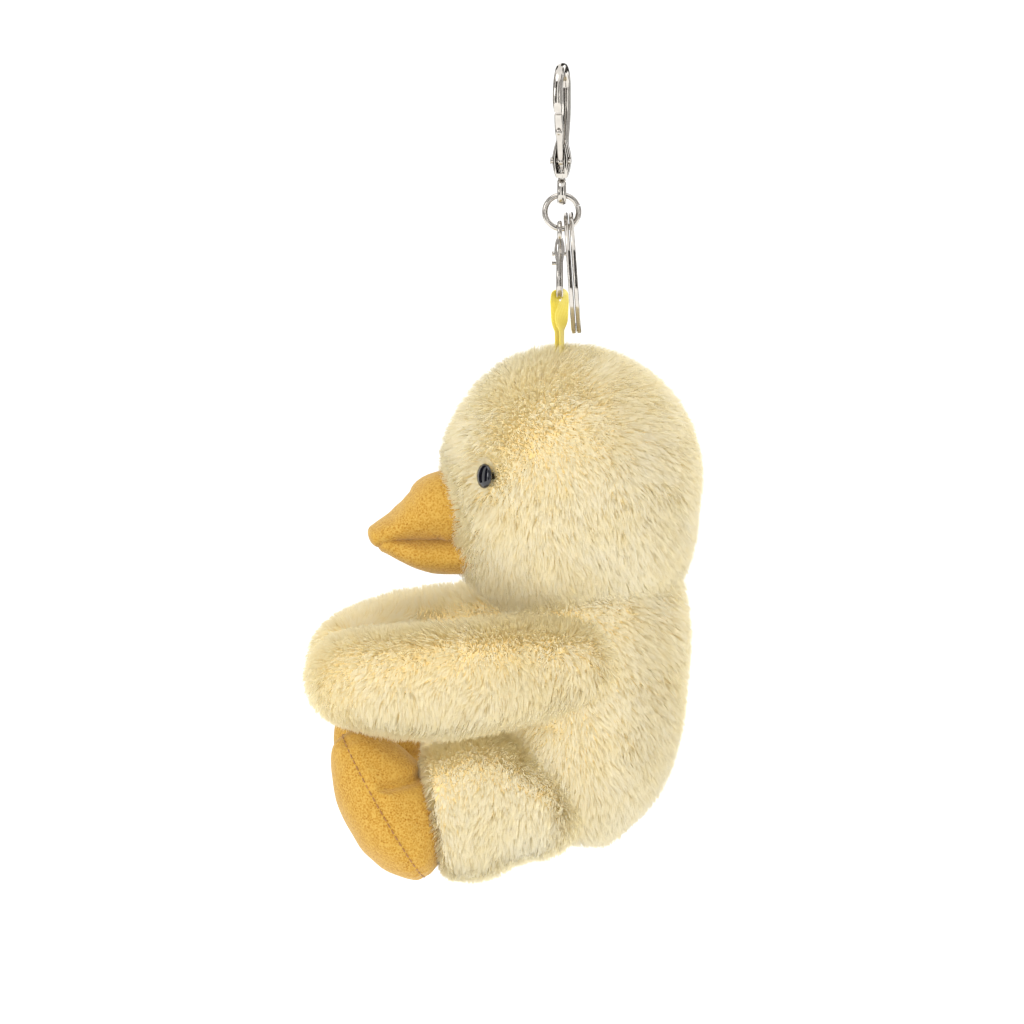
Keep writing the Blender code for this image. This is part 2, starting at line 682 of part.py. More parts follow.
def build_beak(finishes, frame, keep_out):
    """Two suede halves. The upper one is stuffed, and both are sewn to the face."""
    lower_room = tool("beak_lower_room", beak_form(BEAK_LOWER, BEAK_TIP, TOUCH_GAP), frame)
    upper = put("beak_upper", beak_form(BEAK_UPPER, BEAK_TIP), finishes["suede"], frame)
    inside = tool("beak_hollow", beak_form(BEAK_UPPER, BEAK_TIP, -SUEDE_WALL), frame)
    boolean(upper, "DIFFERENCE", lower_room, keep_out, inside)
    lower = put("beak_lower", beak_form(BEAK_LOWER, BEAK_TIP), finishes["suede"], frame)
    boolean(lower, "DIFFERENCE", keep_out)
    filling = put(
        "beak_filling", beak_form(BEAK_UPPER, BEAK_TIP, -SUEDE_WALL - TOUCH_GAP), finishes["filling"], frame
    )
    wide_lower = tool("beak_lower_wall", beak_form(BEAK_LOWER, BEAK_TIP, TOUCH_GAP + SUEDE_WALL), frame)
    boolean(filling, "DIFFERENCE", wide_lower, keep_out)


def body_form(neck, grow=0.0):
    rows = []
    for below, front, back, wide in BODY:
        rows.append((0, (front + back) / 2, neck.z - below, wide, (back - front) / 2))
    return soft_form(rows, Vector((0, 1, 0)), BODY_CAP, BODY_TOP_CAP, grow, 18)


def limb_rows(neck, side, root, ribs, root_ball):
    start = (side * root[0], -root[1], neck.z - root[2], root_ball, root_ball)
    rows = [(side * x, -y, neck.z - below, wide, high) for x, y, below, wide, high in ribs]
    return [start, *rows]


def limb_form(rows, cap, grow=0.0, sides=LIMB_SIDES):
    return soft_form(rows, Vector((0, 0, 1)), cap, rows[0][3], grow, sides)


def build_limb(name, label, rows, cap, finishes, body, filling):
    """A limb's skin, open at its root, and the filling inside it. The body has a socket for it."""
    skin = put(f"{name}_skin_{label}", limb_form(rows, cap), finishes["plush"])
    hollow_rows = [(*row[:3], row[3] - PILE_WALL, row[4] - PILE_WALL) for row in rows]
    root = Vector(rows[0][:3])
    heading = (root - Vector(rows[1][:3])).normalized()
    stuffing = limb_form(hollow_rows, cap - PILE_WALL, -TOUCH_GAP * 2, INNER_SIDES)
    hollow = tool(f"{name}_hollow_{label}", limb_form(hollow_rows, cap - PILE_WALL, 0, INNER_SIDES))
    mouth = tool(
        f"{name}_mouth_{label}",
        rod(root, root + heading * rows[0][3] * 1.2, rows[0][3] * 0.42, 12),
    )
    boolean(skin, "DIFFERENCE", hollow, mouth)
    inside = put(f"{name}_filling_{label}", stuffing, finishes["filling"])
    socket = tool(f"{name}_socket_{label}", limb_form(rows, cap, SOCKET_GAP))
    boolean(body, "DIFFERENCE", socket)
    boolean(filling, "DIFFERENCE", socket)
    return skin, inside


def foot_ball(neck, side, grow=0.0, around=16, along=10):
    place = Vector((side * FOOT_PLACE[0], -FOOT_PLACE[1], neck.z - FOOT_PLACE[2]))
    radii = [r + grow for r in FOOT_RADII]
    turn = Matrix.Rotation(FOOT_TILT, 3, "X")
    return ball(place, radii, turn, around, along, FOOT_FULLNESS), place


def build_foot(label, side, finishes, neck, leg_skin, leg_filling):
    shape, place = foot_ball(neck, side)
    cover = put("foot_cover_" + label, shape, finishes["suede"])
    hollow, _ = foot_ball(neck, side, -SUEDE_WALL, 12, 8)
    leg_way = Vector((0, 1, 0))
    mouth = rod(place, place + leg_way * FOOT_RADII[1] * 2, FOOT_RADII[0] * 0.4, 12)
    boolean(
        cover,
        "DIFFERENCE",
        tool("foot_hollow_" + label, hollow),
        tool("foot_mouth_" + label, mouth),
    )
    stuffing, _ = foot_ball(neck, side, -SUEDE_WALL - TOUCH_GAP * 2, 12, 8)
    inside = put("foot_filling_" + label, stuffing, finishes["filling"])
    room, _ = foot_ball(neck, side, TOUCH_GAP)
    keep_out = tool("foot_room_" + label, room)
    boolean(leg_skin, "DIFFERENCE", keep_out)
    boolean(leg_filling, "DIFFERENCE", keep_out)
    return cover, inside


def build_body(finishes, neck, head_keep_out):
    skin = put("body_skin", body_form(neck), finishes["plush"])
    hollow = tool("body_hollow", body_form(neck, -PILE_WALL))
    throat = rod(neck + Vector((0, 0, 0.01)), neck + Vector((0, 0.0015, -0.0125)), NECK_OPENING)
    boolean(skin, "DIFFERENCE", head_keep_out, hollow, tool("body_throat", throat))
    filling = put("body_filling", body_form(neck, -PILE_WALL - TOUCH_GAP * 2), finishes["filling"])
    boolean(filling, "DIFFERENCE", head_keep_out)
    place = Vector((POUCH_PLACE[0], POUCH_PLACE[1], neck.z - POUCH_PLACE[2]))
    pouch = put("pellet_pouch", ball(place, POUCH_RADII, around=16, along=8), finishes["pouch"])
    room = ball(place, [r + TOUCH_GAP for r in POUCH_RADII], around=16, along=8)
    access = rod(place, place + Vector((0, 0, 0.05)), 0.004, 8)
    boolean(filling, "DIFFERENCE", tool("pouch_room", room), tool("pouch_access", access))
    pivot("neck_axis", neck, skin, filling, pouch)
    return skin, filling


def build_limbs(finishes, neck, body, filling):
    for label, side in (("left", 1), ("right", -1)):
        rows = limb_rows(neck, side, SHOULDER, ARM, SHOULDER_BALL)
        arm = build_limb("arm", label, rows, ARM_CAP, finishes, body, filling)
        pivot("shoulder_axis_" + label, rows[0][:3], *arm)

        rows = limb_rows(neck, side, HIP, LEG, HIP_BALL)
        leg = build_limb("leg", label, rows, LEG_CAP, finishes, body, filling)
        foot = build_foot(label, side, finishes, neck, *leg)
        pivot("hip_axis_" + label, rows[0][:3], *leg, *foot)


def main():
    clear_scene()
    finishes = {
        "plush": material("butter_plush", (0.90, 0.80, 0.52), 0.95),
        "suede": material("golden_suede", (0.84, 0.52, 0.13), 0.85),
        "filling": material("fibre_filling", (0.93, 0.93, 0.91), 1.0),
        "pouch": material("pellet_pouch_cloth", (0.85, 0.85, 0.82), 0.9),
        "eye": material("black_eye", (0.01, 0.01, 0.012), 0.08),
        "washer": material("washer_plastic", (0.9, 0.9, 0.88), 0.5),
        "ribbon": material("yellow_ribbon", (0.93, 0.80, 0.10), 0.6),
        "nickel": material("bright_nickel", (0.72, 0.70, 0.67), 0.15, 1.0),
    }
    hook_frame = empty("hook_frame", (0, 0, 0), Matrix.Rotation(HOOK_YAW, 3, "Z"))
    hook_body, _ = build_clasp("hook", HOOK, finishes["nickel"], hook_frame)
    eye_centre = build_swivel(finishes["nickel"], hook_frame, hook_body)
    jump_centre = build_jump_ring(finishes["nickel"], eye_centre)
    build_split_ring(finishes["nickel"], jump_centre)
    bar = build_small_clasp(finishes["nickel"], jump_centre)
    ribbon_axis, slit = build_ribbon(finishes["ribbon"], bar)

    centre = Vector((0, HEAD_FORWARD, bar.z - HEAD_TOP_DROP - HEAD_RADIUS))
    head_frame, keep_out = build_head(finishes, centre, ribbon_axis, slit)
    build_beak(finishes, head_frame, keep_out)
    neck = centre - Vector((0, 0, HEAD_RADIUS))
    body, filling = build_body(finishes, neck, keep_out)
    build_limbs(finishes, neck, body, filling)


main()
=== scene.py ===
# %% [markdown]
# # A plush duckling on a snap hook
# This notebook dresses a finished mechanical model. The model gives every piece its place and
# its joints; here each piece gets the look of the real thing: bright nickel, woven ribbon,
# golden suede and a long, soft pile. Everything is in metres, Z is up, and the duckling
# faces -Y with its left side at +X.

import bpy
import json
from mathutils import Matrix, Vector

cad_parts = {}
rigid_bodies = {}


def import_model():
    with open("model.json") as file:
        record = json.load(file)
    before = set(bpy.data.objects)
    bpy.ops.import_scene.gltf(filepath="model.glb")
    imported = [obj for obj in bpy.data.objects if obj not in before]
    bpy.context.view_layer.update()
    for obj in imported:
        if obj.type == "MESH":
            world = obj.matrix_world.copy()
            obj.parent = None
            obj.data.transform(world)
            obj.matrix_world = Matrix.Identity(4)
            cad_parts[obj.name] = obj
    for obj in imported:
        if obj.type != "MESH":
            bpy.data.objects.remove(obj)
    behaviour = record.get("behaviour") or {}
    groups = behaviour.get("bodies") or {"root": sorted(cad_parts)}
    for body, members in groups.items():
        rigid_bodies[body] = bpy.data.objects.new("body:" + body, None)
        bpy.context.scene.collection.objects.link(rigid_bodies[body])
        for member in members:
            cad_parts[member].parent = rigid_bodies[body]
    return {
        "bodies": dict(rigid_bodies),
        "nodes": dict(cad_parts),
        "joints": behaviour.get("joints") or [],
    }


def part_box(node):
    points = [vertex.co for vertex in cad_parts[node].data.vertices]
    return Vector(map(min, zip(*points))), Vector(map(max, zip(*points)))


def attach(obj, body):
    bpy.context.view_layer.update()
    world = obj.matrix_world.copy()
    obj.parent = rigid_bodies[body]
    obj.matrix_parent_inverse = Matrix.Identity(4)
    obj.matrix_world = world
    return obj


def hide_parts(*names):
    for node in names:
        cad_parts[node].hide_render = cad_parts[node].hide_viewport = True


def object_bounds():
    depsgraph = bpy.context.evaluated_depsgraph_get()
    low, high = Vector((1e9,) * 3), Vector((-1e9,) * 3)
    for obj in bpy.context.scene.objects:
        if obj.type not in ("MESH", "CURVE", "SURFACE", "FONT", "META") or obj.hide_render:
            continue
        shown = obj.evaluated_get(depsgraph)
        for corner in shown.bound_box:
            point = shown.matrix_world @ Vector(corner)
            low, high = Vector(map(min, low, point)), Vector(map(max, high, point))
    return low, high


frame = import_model()
cad_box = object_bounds()
print("bodies:", ", ".join(sorted(frame["bodies"])))

# %% [markdown]
# ## Tools and units
# Small toys are easier to think about in millimetres, so one constant turns them into metres.
# Random choices come from generators with fixed seeds, so every run grows the same coat.

# %% Units and modules
import json
import math

import bmesh
import bpy
import numpy as np
from mathutils import Matrix, Vector
from mathutils.bvhtree import BVHTree
from mathutils.kdtree import KDTree

MM = 0.001
FULL_TURN = 2 * math.pi
ACROSS = Vector((0, 1, 0))
UP = Vector((0, 0, 1))
joint_place = {joint["name"]: Vector(joint["pos_m"]) for joint in frame["joints"]}


def in_mm(numbers):
    return [round(number / MM, 1) for number in numbers]


print(len(joint_place), "joints, whole model", in_mm(Vector(cad_box[1]) - Vector(cad_box[0])), "mm")

# %% [markdown]
# ## Where the big forms are
# The mechanical model knows where each soft form sits. The head is a ball, and all the body's
# sizes hang from its lowest point, the neck, so reading one box places the whole duckling.

# %% Read the places
HEAD_RADIUS = 32.5 * MM
head_low, head_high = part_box("head_skin")
HEAD_CENTRE = Vector((0, (head_low.y + head_high.y) / 2, head_high.z - HEAD_RADIUS))
NECK = HEAD_CENTRE - UP * HEAD_RADIUS
print("head centre", in_mm(HEAD_CENTRE), "neck", in_mm(NECK))

# %% [markdown]
# ## Camera
# A long lens far away keeps the toy's proportions honest. The camera stands at the duckling's
# left side and looks a little down.

# %% Camera
AIM = Vector((0, -12.07 * MM, -107.2 * MM))
CAMERA_DISTANCE = 2.082
CAMERA_LIFT = math.radians(8.08)
LENS, SENSOR = 300, 36  # both in millimetres, as on a camera
camera = bpy.data.objects.new("studio_camera", bpy.data.cameras.new("studio_camera"))
bpy.context.scene.collection.objects.link(camera)
camera.data.lens = LENS
camera.data.sensor_width = SENSOR
towards_camera = Vector((math.cos(CAMERA_LIFT), 0, math.sin(CAMERA_LIFT)))
camera.location = AIM + towards_camera * CAMERA_DISTANCE
camera.rotation_euler = (AIM - camera.location).to_track_quat("-Z", "Y").to_euler()
bpy.context.scene.camera = camera
print("camera at", [round(c, 3) for c in camera.location])

# %% [markdown]
# ## Studio
# Plush is photographed in a white tent: light from everywhere, and a little more from the side
# that the camera sees. A bright world is the tent. Four soft discs of light add the rest, so
# that the forms still turn from light to shade.

# %% World and lamps
TENT_WHITE, TENT_STRENGTH = (1.0, 0.995, 0.985, 1), 1.27
studio = bpy.context.scene
studio.view_settings.view_transform = "Standard"
tent = bpy.data.worlds.new("white_tent")
studio.world = tent
tent.use_nodes = True
tent_light = tent.node_tree.nodes["Background"]
tent_light.inputs["Color"].default_value = TENT_WHITE
tent_light.inputs["Strength"].default_value = TENT_STRENGTH


def lamp(name, place, size, watts, colour=(1, 1, 1)):
    light = bpy.data.lights.new(name, "AREA")
    light.shape = "DISK"
    light.size, light.energy, light.color = size, watts, colour
    made = bpy.data.objects.new(name, light)
    studio.collection.objects.link(made)
    made.location = place
    made.rotation_euler = (AIM - Vector(place)).to_track_quat("-Z", "Y").to_euler()


lamp("top_lamp", (0.25, -0.35, 0.75), 0.5, 0.8, (1, 0.97, 0.93))
lamp("side_lamp", (1.35, 0.25, -0.05), 0.8, 4.2)
lamp("front_lamp", (0.75, -0.75, 0.15), 0.5, 2.5)
lamp("back_lamp", (-0.6, 0.7, 0.35), 0.6, 3.0)
print("four lamps, tent strength", TENT_STRENGTH)

# %% [markdown]
# ## Shader sums
# A material in Blender is a net of nodes, and nets are hard to read as code. So a socket is
# wrapped in a small class whose plus, minus and times add the Math nodes, and a sum is written
# as a sum. Every other node comes from one method that takes its type, its settings and what
# goes into its sockets. Colours are given as a dyer would name them, from 0 to 255.

# %% Sockets as numbers
class Value:
    """A socket that can be written in sums, as in 0.9 - mask * 0.5."""

    def __init__(self, recipe, socket):
        self.recipe, self.socket = recipe, socket

    def sum(self, operation, *terms):
        return self.recipe.node("Math", {"operation": operation}, dict(enumerate(terms)))

    def __add__(self, other):
        return self.sum("ADD", self, other)

    def __rsub__(self, other):
        return self.sum("SUBTRACT", other, self)

    def __mul__(self, other):
        return self.sum("MULTIPLY", self, other)

    __radd__, __rmul__ = __add__, __mul__


print("sums ready")


# %% Materials as recipes
class Recipe:
    """A material in the making. Its nodes all come from the method node."""

    def __init__(self, name, **uniform):
        self.material = bpy.data.materials.new(name)
        self.material.use_nodes = True
        self.tree = self.material.node_tree
        self.shader = self.tree.nodes["Principled BSDF"]
        for socket, value in uniform.items():
            self.shader.inputs[socket.replace("_", " ")].default_value = value

    def node(self, kind, settings=None, sockets=None, out=0):
        made = self.tree.nodes.new("ShaderNode" + kind)
        for name, value in (settings or {}).items():
            if name != "stops":
                setattr(made, name, value)
                continue
            while len(made.color_ramp.elements) < len(value):
                made.color_ramp.elements.new(0.5)
            for stop, (place, colour) in zip(made.color_ramp.elements, value):
                stop.position, stop.color = place, (*colour, 1)
        for key, value in (sockets or {}).items():
            self.join(value, made.inputs[key])
        return Value(self, made.outputs[out])

    def join(self, value, socket):
        if isinstance(value, Value):
            self.tree.links.new(value.socket, socket)
        else:
            socket.default_value = value

    def place(self):
        return self.node("TexCoord", out="Object")

    def noise(self, place, size, detail=3.0, rough=0.5):
        sockets = {"Vector": place, "Scale": 1 / size, "Detail": detail, "Roughness": rough}
        return self.node("TexNoise", {}, sockets)

    def ramp(self, mask, *stops):
        return self.node("ValToRGB", {"stops": stops}, {0: mask})

    def mix(self, mask, first, second, blend="MIX"):
        first, second = ((*c, 1) if isinstance(c, tuple) else c for c in (first, second))
        settings = {"data_type": "RGBA", "blend_type": blend}
        return self.node("Mix", settings, {0: mask, 6: first, 7: second}, 2)

    def feed(self, **inputs):
        for socket, value in inputs.items():
            self.join(value, self.shader.inputs[socket.replace("_", " ")])

    def bump(self, height, depth, strength=1.0):
        sockets = {"Height": height, "Distance": depth, "Strength": strength}
        self.feed(Normal=self.node("Bump", {}, sockets))

    def glow(self, share, colour):
        """Let a share of the light through, as thin fibre does."""
        through = self.node("BsdfTranslucent", {}, {"Color": (*colour, 1)})
        surface = Value(self, self.shader.outputs[0])
        mixed = self.node("MixShader", {}, {0: share, 1: surface, 2: through})
        self.join(mixed, self.tree.nodes["Material Output"].inputs["Surface"])


def dye(red, green, blue):
    """A colour as a dyer would mix it, 0 to 255, in the light's own linear numbers."""
    found = []
    for share in (red / 255, green / 255, blue / 255):
        dark = share * 255 < 11
        found.append(share / 12.92 if dark else ((share + 0.055) / 1.055) ** 2.4)
    return tuple(found)


print("white cloth is", [round(c, 2) for c in dye(245, 243, 236)])

# %% [markdown]
# ## Floor
# The floor is a wide pale disc well below the hanging toy. It throws light back up, as the
# bottom of a tent does. It isn't part of the object.

# %% Floor
floor_recipe = Recipe("pale_floor", Roughness=0.8)
clouds = floor_recipe.noise(floor_recipe.place(), 0.4)
floor_recipe.feed(Base_Color=floor_recipe.mix(clouds, dye(253, 253, 252), dye(255, 255, 254)))
FLOOR_HEIGHT, FLOOR_RADIUS = -0.30, 6.0
disc = bmesh.new()
bmesh.ops.create_circle(disc, cap_ends=True, segments=96, radius=FLOOR_RADIUS)
bmesh.ops.translate(disc, vec=(0, 0, FLOOR_HEIGHT), verts=disc.verts)
floor_mesh = bpy.data.meshes.new("pale_floor")
disc.to_mesh(floor_mesh)
disc.free()
floor = bpy.data.objects.new("pale_floor", floor_mesh)
studio.collection.objects.link(floor)
floor_mesh.materials.append(floor_recipe.material)
print("floor at", FLOOR_HEIGHT)

# %% [markdown]
# ## Black cards
# Bright metal shows only what stands round it, so in a white tent it would vanish.
# Photographers hang black cards beside it, and their reflections draw the dark edges that make
# metal look like metal. Nine narrow cards stand in a ring here. Only reflections see them.

# %% Black cards for the nickel
card_recipe = Recipe("black_card", Roughness=0.9, Specular_IOR_Level=0.0)
card_felt = card_recipe.noise(card_recipe.place(), 0.1)
card_recipe.feed(Base_Color=card_recipe.mix(card_felt, dye(20, 18, 16), dye(34, 28, 24)))
CARDS, CARD_RING, CARD_WIDE, CARD_HIGH = 9, 0.6, 0.25, 1.3
CHAIN_MIDDLE = Vector((0, 0, -0.03))


def black_card(name, place):
    bm = bmesh.new()
    bmesh.ops.create_grid(bm, x_segments=6, y_segments=6, size=0.5)
    mesh = bpy.data.meshes.new(name)
    bm.to_mesh(mesh)
    bm.free()
    card = bpy.data.objects.new(name, mesh)
    studio.collection.objects.link(card)
    card.location = place
    card.rotation_euler = (CHAIN_MIDDLE - Vector(place)).to_track_quat("Z", "Y").to_euler()
    card.scale = (CARD_WIDE, CARD_HIGH, 1)
    mesh.materials.append(card_recipe.material)
    card.visible_camera = card.visible_diffuse = False
    card.visible_shadow = card.visible_transmission = False


for turn in range(CARDS):
    angle = math.radians(8) + FULL_TURN * turn / CARDS
    black_card(f"black_card_{turn}", (CARD_RING * math.cos(angle), CARD_RING * math.sin(angle), 0))
print(CARDS, "cards round the chain")

# %% [markdown]
# ## Nickel
# The chain is zinc and steel with a bright nickel plate. Plate this thin follows every polishing
# mark, so the roughness wanders a little and fine scratches catch the light. Nickel is warmer
# than chrome.

# %% Nickel
nickel = Recipe("bright_nickel", Metallic=1.0)
nickel_place = nickel.place()
polish = nickel.noise(nickel_place, 1.6 * MM, 4)
drawn_out = nickel.node("Mapping", {}, {0: nickel_place, 3: (1, 1, 0.08)})
scratches = nickel.noise(drawn_out, 0.09 * MM, 5, 0.7)
nickel.feed(
    Base_Color=nickel.mix(polish, dye(184, 179, 172), dye(216, 211, 204)),
    Roughness=polish * 0.07 + scratches * 0.06 + 0.05,
)
nickel.bump(scratches * 0.7 + polish * 0.3, 0.006 * MM, 0.35)
print("nickel mixed")

# %% [markdown]
# ## Bars, rods and rings
# Everything in the chain is a bar that follows a path. A ring of points is carried along the
# path and skinned, which is what a caster's runner or a wire bender does. The claws are
# squarish bars with rounded edges, so their rings are rounded squares.

# %% Skin forms from rings of points
ROUND, SOFT_SQUARE, SQUARISH, FLAT_WIRE = 2.0, 2.5, 3.2, 6.0


def oval(centre, side, up, sides, power=ROUND):
    """Points round an oval; a higher power makes it squarer."""
    found = []
    for i in range(sides):
        t = FULL_TURN * i / sides
        a, b = math.cos(t), math.sin(t)
        swell = (abs(a) ** power + abs(b) ** power) ** (1 / power)
        found.append(centre + side * (a / swell) + up * (b / swell))
    return found


def skinned(rings, closed=False):
    bm = bmesh.new()
    loops = [[bm.verts.new(point) for point in ring] for ring in rings]
    for first, second in zip(loops, loops[1:] + ([loops[0]] if closed else [])):
        for i in range(len(first)):
            j = (i + 1) % len(first)
            bm.faces.new((first[i], first[j], second[j], second[i]))
    if not closed:
        bm.faces.new(loops[0][::-1])
        bm.faces.new(loops[-1])
    bmesh.ops.recalc_face_normals(bm, faces=bm.faces)
    return bm


def smooth_through(rows, steps):
    """Rows of numbers on a smooth curve through the given rows."""
    first = [2 * a - b for a, b in zip(rows[0], rows[1])]
    last = [2 * a - b for a, b in zip(rows[-1], rows[-2])]
    known = np.array([first, *[list(row) for row in rows], last], float)
    found = []
    for k in range(1, len(known) - 2):
        for t in np.arange(steps) / steps:
            weights = (
                -0.5 * t + t**2 - 0.5 * t**3,
                1 - 2.5 * t**2 + 1.5 * t**3,
                0.5 * t + 2 * t**2 - 1.5 * t**3,
                -0.5 * t**2 + 0.5 * t**3,
            )
            found.append(sum(w * row for w, row in zip(weights, known[k - 1 : k + 3])))
    return [list(row) for row in found] + [list(rows[-1])]


def directions(points):
    spans = [b - a for a, b in zip(points, points[1:])]
    inner = [(a.normalized() + b.normalized()).normalized() for a, b in zip(spans, spans[1:])]
    return [spans[0].normalized(), *inner, spans[-1].normalized()]


def swept(stations, across, sides, power=ROUND, closed=False):
    """A bar along a flat path. Stations are (point, half in the plane, half across it)."""
    points = [Vector(s[0]) for s in stations]
    heading = directions([points[-1], *points, points[0]])[1:-1] if closed else directions(points)
    rings = [
        oval(point, ahead.cross(across).normalized() * half, across * thick, sides, power)
        for point, ahead, (_, half, thick) in zip(points, heading, stations)
    ]
    return skinned(rings, closed)


def rod(start, end, radius, sides=28):
    start, end = Vector(start), Vector(end)
    side = (end - start).normalized().orthogonal().normalized()
    up = (end - start).normalized().cross(side)
    return skinned([oval(p, side * radius, up * radius, sides) for p in (start, end)])


def block(low, high):
    bm = bmesh.new()
    bmesh.ops.create_cube(bm, size=1)
    low, high = Vector(low), Vector(high)
    stretch = Matrix.Translation((low + high) / 2) @ Matrix.Diagonal((*(high - low), 1))
    bmesh.ops.transform(bm, matrix=stretch, verts=bm.verts)
    return bm


print("bars, rods and blocks ready")

# %% [markdown]
# ## Turn shapes into pieces
# A piece is a mesh in the scene with its finish. Slots and holes are cut with Booleans, as on
# a mill, and a fine bevel breaks every sharp edge: light catches it, and an edge without it
# looks like a drawing. Each step is applied at once, so that every piece is a plain mesh.


# %% Pieces, carving and broken edges
def piece(name, bm, recipe=None, place=Matrix.Identity(4), smooth_angle=40):
    mesh = bpy.data.meshes.new(name)
    bm.to_mesh(mesh)
    bm.free()
    mesh.transform(place)
    mesh.shade_smooth()
    mesh.set_sharp_from_angle(angle=math.radians(smooth_angle))
    made = bpy.data.objects.new(name, mesh)
    studio.collection.objects.link(made)
    if recipe:
        mesh.materials.append(recipe.material)
    return made


def settle(made):
    """Apply every modifier, so the piece is a plain mesh."""
    graph = bpy.context.evaluated_depsgraph_get()
    finished = bpy.data.meshes.new_from_object(made.evaluated_get(graph))
    made.modifiers.clear()
    made.data = finished


def carve(made, operation, *shapes, place=Matrix.Identity(4)):
    """Join shapes on, or cut them away."""
    tools = []
    for shape in shapes:
        tools.append(piece("chisel", shape, place=place))
        step = made.modifiers.new("carve", "BOOLEAN")
        step.operation, step.solver, step.object = operation, "EXACT", tools[-1]
    settle(made)
    for tool in tools:
        bpy.data.objects.remove(tool)


def break_edges(made, width, angle=35):
    """Cast and stamped edges are never sharp."""
    step = made.modifiers.new("broken_edges", "BEVEL")
    step.width, step.segments, step.limit_method = width, 2, "ANGLE"
    step.angle_limit = math.radians(angle)
    step.harden_normals = True
    settle(made)


print("workshop ready")

# %% [markdown]
# ## Snap hook and small clasp
# Both are the same casting in two sizes: a claw that ends in a slotted clevis, and a gate that
# turns on a rivet in the slot and closes the claw with a spring. The sizes live in two small
# tables and one set of functions casts both. Heights run down from the inside of the bight.

# %% Sizes of the two claws
def in_metres(**sizes):
    return {name: size * MM for name, size in sizes.items()}


HOOK = in_metres(
    inner=4.6, half=1.3, thick=1.15,  # bight's inner radius, bar's half width and half thickness
    nose=8.6, shoulder=16.0, rivet=21.0, top=16.0, bottom=25.2,  # heights, downward
    wide=2.7, deep=2.3, slot=1.0,  # clevis, half its width and depth, half its slot
    offset=1.2, pin=0.6, proud=0.12, peg=0.0,  # rivet's place, radius and heads, thumb peg
)
CLASP = in_metres(
    inner=2.7, half=0.85, thick=0.85,
    nose=4.6, shoulder=7.4, rivet=9.4, top=7.0, bottom=13.2,
    wide=2.0, deep=1.3, slot=0.7,
    offset=0.6, pin=0.4, proud=0.5, peg=1.1,
)
PIN_GAP = 0.15 * MM
CLEVIS_FLOOR = 1.1 * MM
BAR_SIDES = 24
print("hook and clasp reach", in_mm((HOOK["bottom"], CLASP["bottom"])), "mm below their bights")

# %% [markdown]
# ## Claw
# The claw is one casting: a bar bent into a bight, a nose for the gate to close on, and a spine
# that runs into the clevis. The bar is carried along a smooth path, the clevis is skinned from
# ovals and joined on, and then the slot and the rivet's hole are cut.


# %% Claw with its clevis
# Down the clevis from its top: how far, and its share of the full width and depth.
CLEVIS_SHAPE = ((0, 0.62, 0.55), (0.22, 0.92, 0.8), (0.5, 1, 1), (0.8, 0.88, 0.86), (1, 0.6, 0.6))


def claw_path(size):
    """From the nose, over the bight and down the spine: (outward, height)."""
    mean = size["inner"] + size["half"]
    half_turn = np.linspace(0, math.pi, 11)
    bow = [(mean * math.cos(t), -size["inner"] + mean * math.sin(t)) for t in half_turn]
    nose = [(mean * 0.88, -size["nose"]), (mean * 0.97, -(size["inner"] + size["nose"]) / 2)]
    spine = [
        (-mean * 0.97, -(size["inner"] + size["shoulder"]) / 2),
        (-size["wide"] * 1.25, -size["shoulder"]),
        (-size["wide"] * 0.72, -size["rivet"]),
    ]
    return nose + bow + spine


def cast_claw(name, size, place):
    half, thick = size["half"], size["thick"]
    rows = [(x, z, half, thick) for x, z in claw_path(size)]
    rows[0] = (*rows[0][:2], half * 0.72, thick * 0.8)
    stations = [((x, 0, z), a, b) for x, z, a, b in smooth_through(rows, 4)]
    claw = piece(name, swept(stations, ACROSS, BAR_SIDES, SQUARISH), nickel, place)
    top, bottom, wide, deep = size["top"], size["bottom"], size["wide"], size["deep"]
    rings = []
    for down, w, d in smooth_through(CLEVIS_SHAPE, 4):
        centre = Vector((0, 0, -top - (bottom - top) * down))
        rings.append(oval(centre, Vector((wide * w, 0, 0)), ACROSS * deep * d, 32, SOFT_SQUARE))
    carve(claw, "UNION", skinned(rings), place=place)
    slot_low = (-wide * 0.66, -size["slot"], -bottom + CLEVIS_FLOOR)
    slot = block(slot_low, (wide * 1.6, size["slot"], -top + half))
    x, z = size["offset"], -size["rivet"]
    hole = rod((x, -deep * 1.5, z), (x, deep * 1.5, z), size["pin"] + PIN_GAP)
    carve(claw, "DIFFERENCE", slot, hole, place=place)
    return claw


print("claw can be cast")

# %% [markdown]
# ## Gate and rivet
# The gate is a thin leaf in the clevis slot that grows to the claw's full thickness above it,
# with a thumb tab outside, and a peg as well on the small clasp. The rivet is a turned pin with
# a domed head at each end. The leaf is drilled a little wider than the pin, so that it turns.


# %% Gate and rivet
def gate_line(size):
    """Where the gate runs, from its rivet up to the nose, as a share from 0 to 1."""
    mean = size["inner"] + size["half"]
    x, z = size["offset"], -size["rivet"]
    tip = (mean * 0.84, -size["nose"] - size["half"] * 0.5)
    return lambda share: Vector((x + (tip[0] - x) * share**1.35, 0, z + (tip[1] - z) * share))


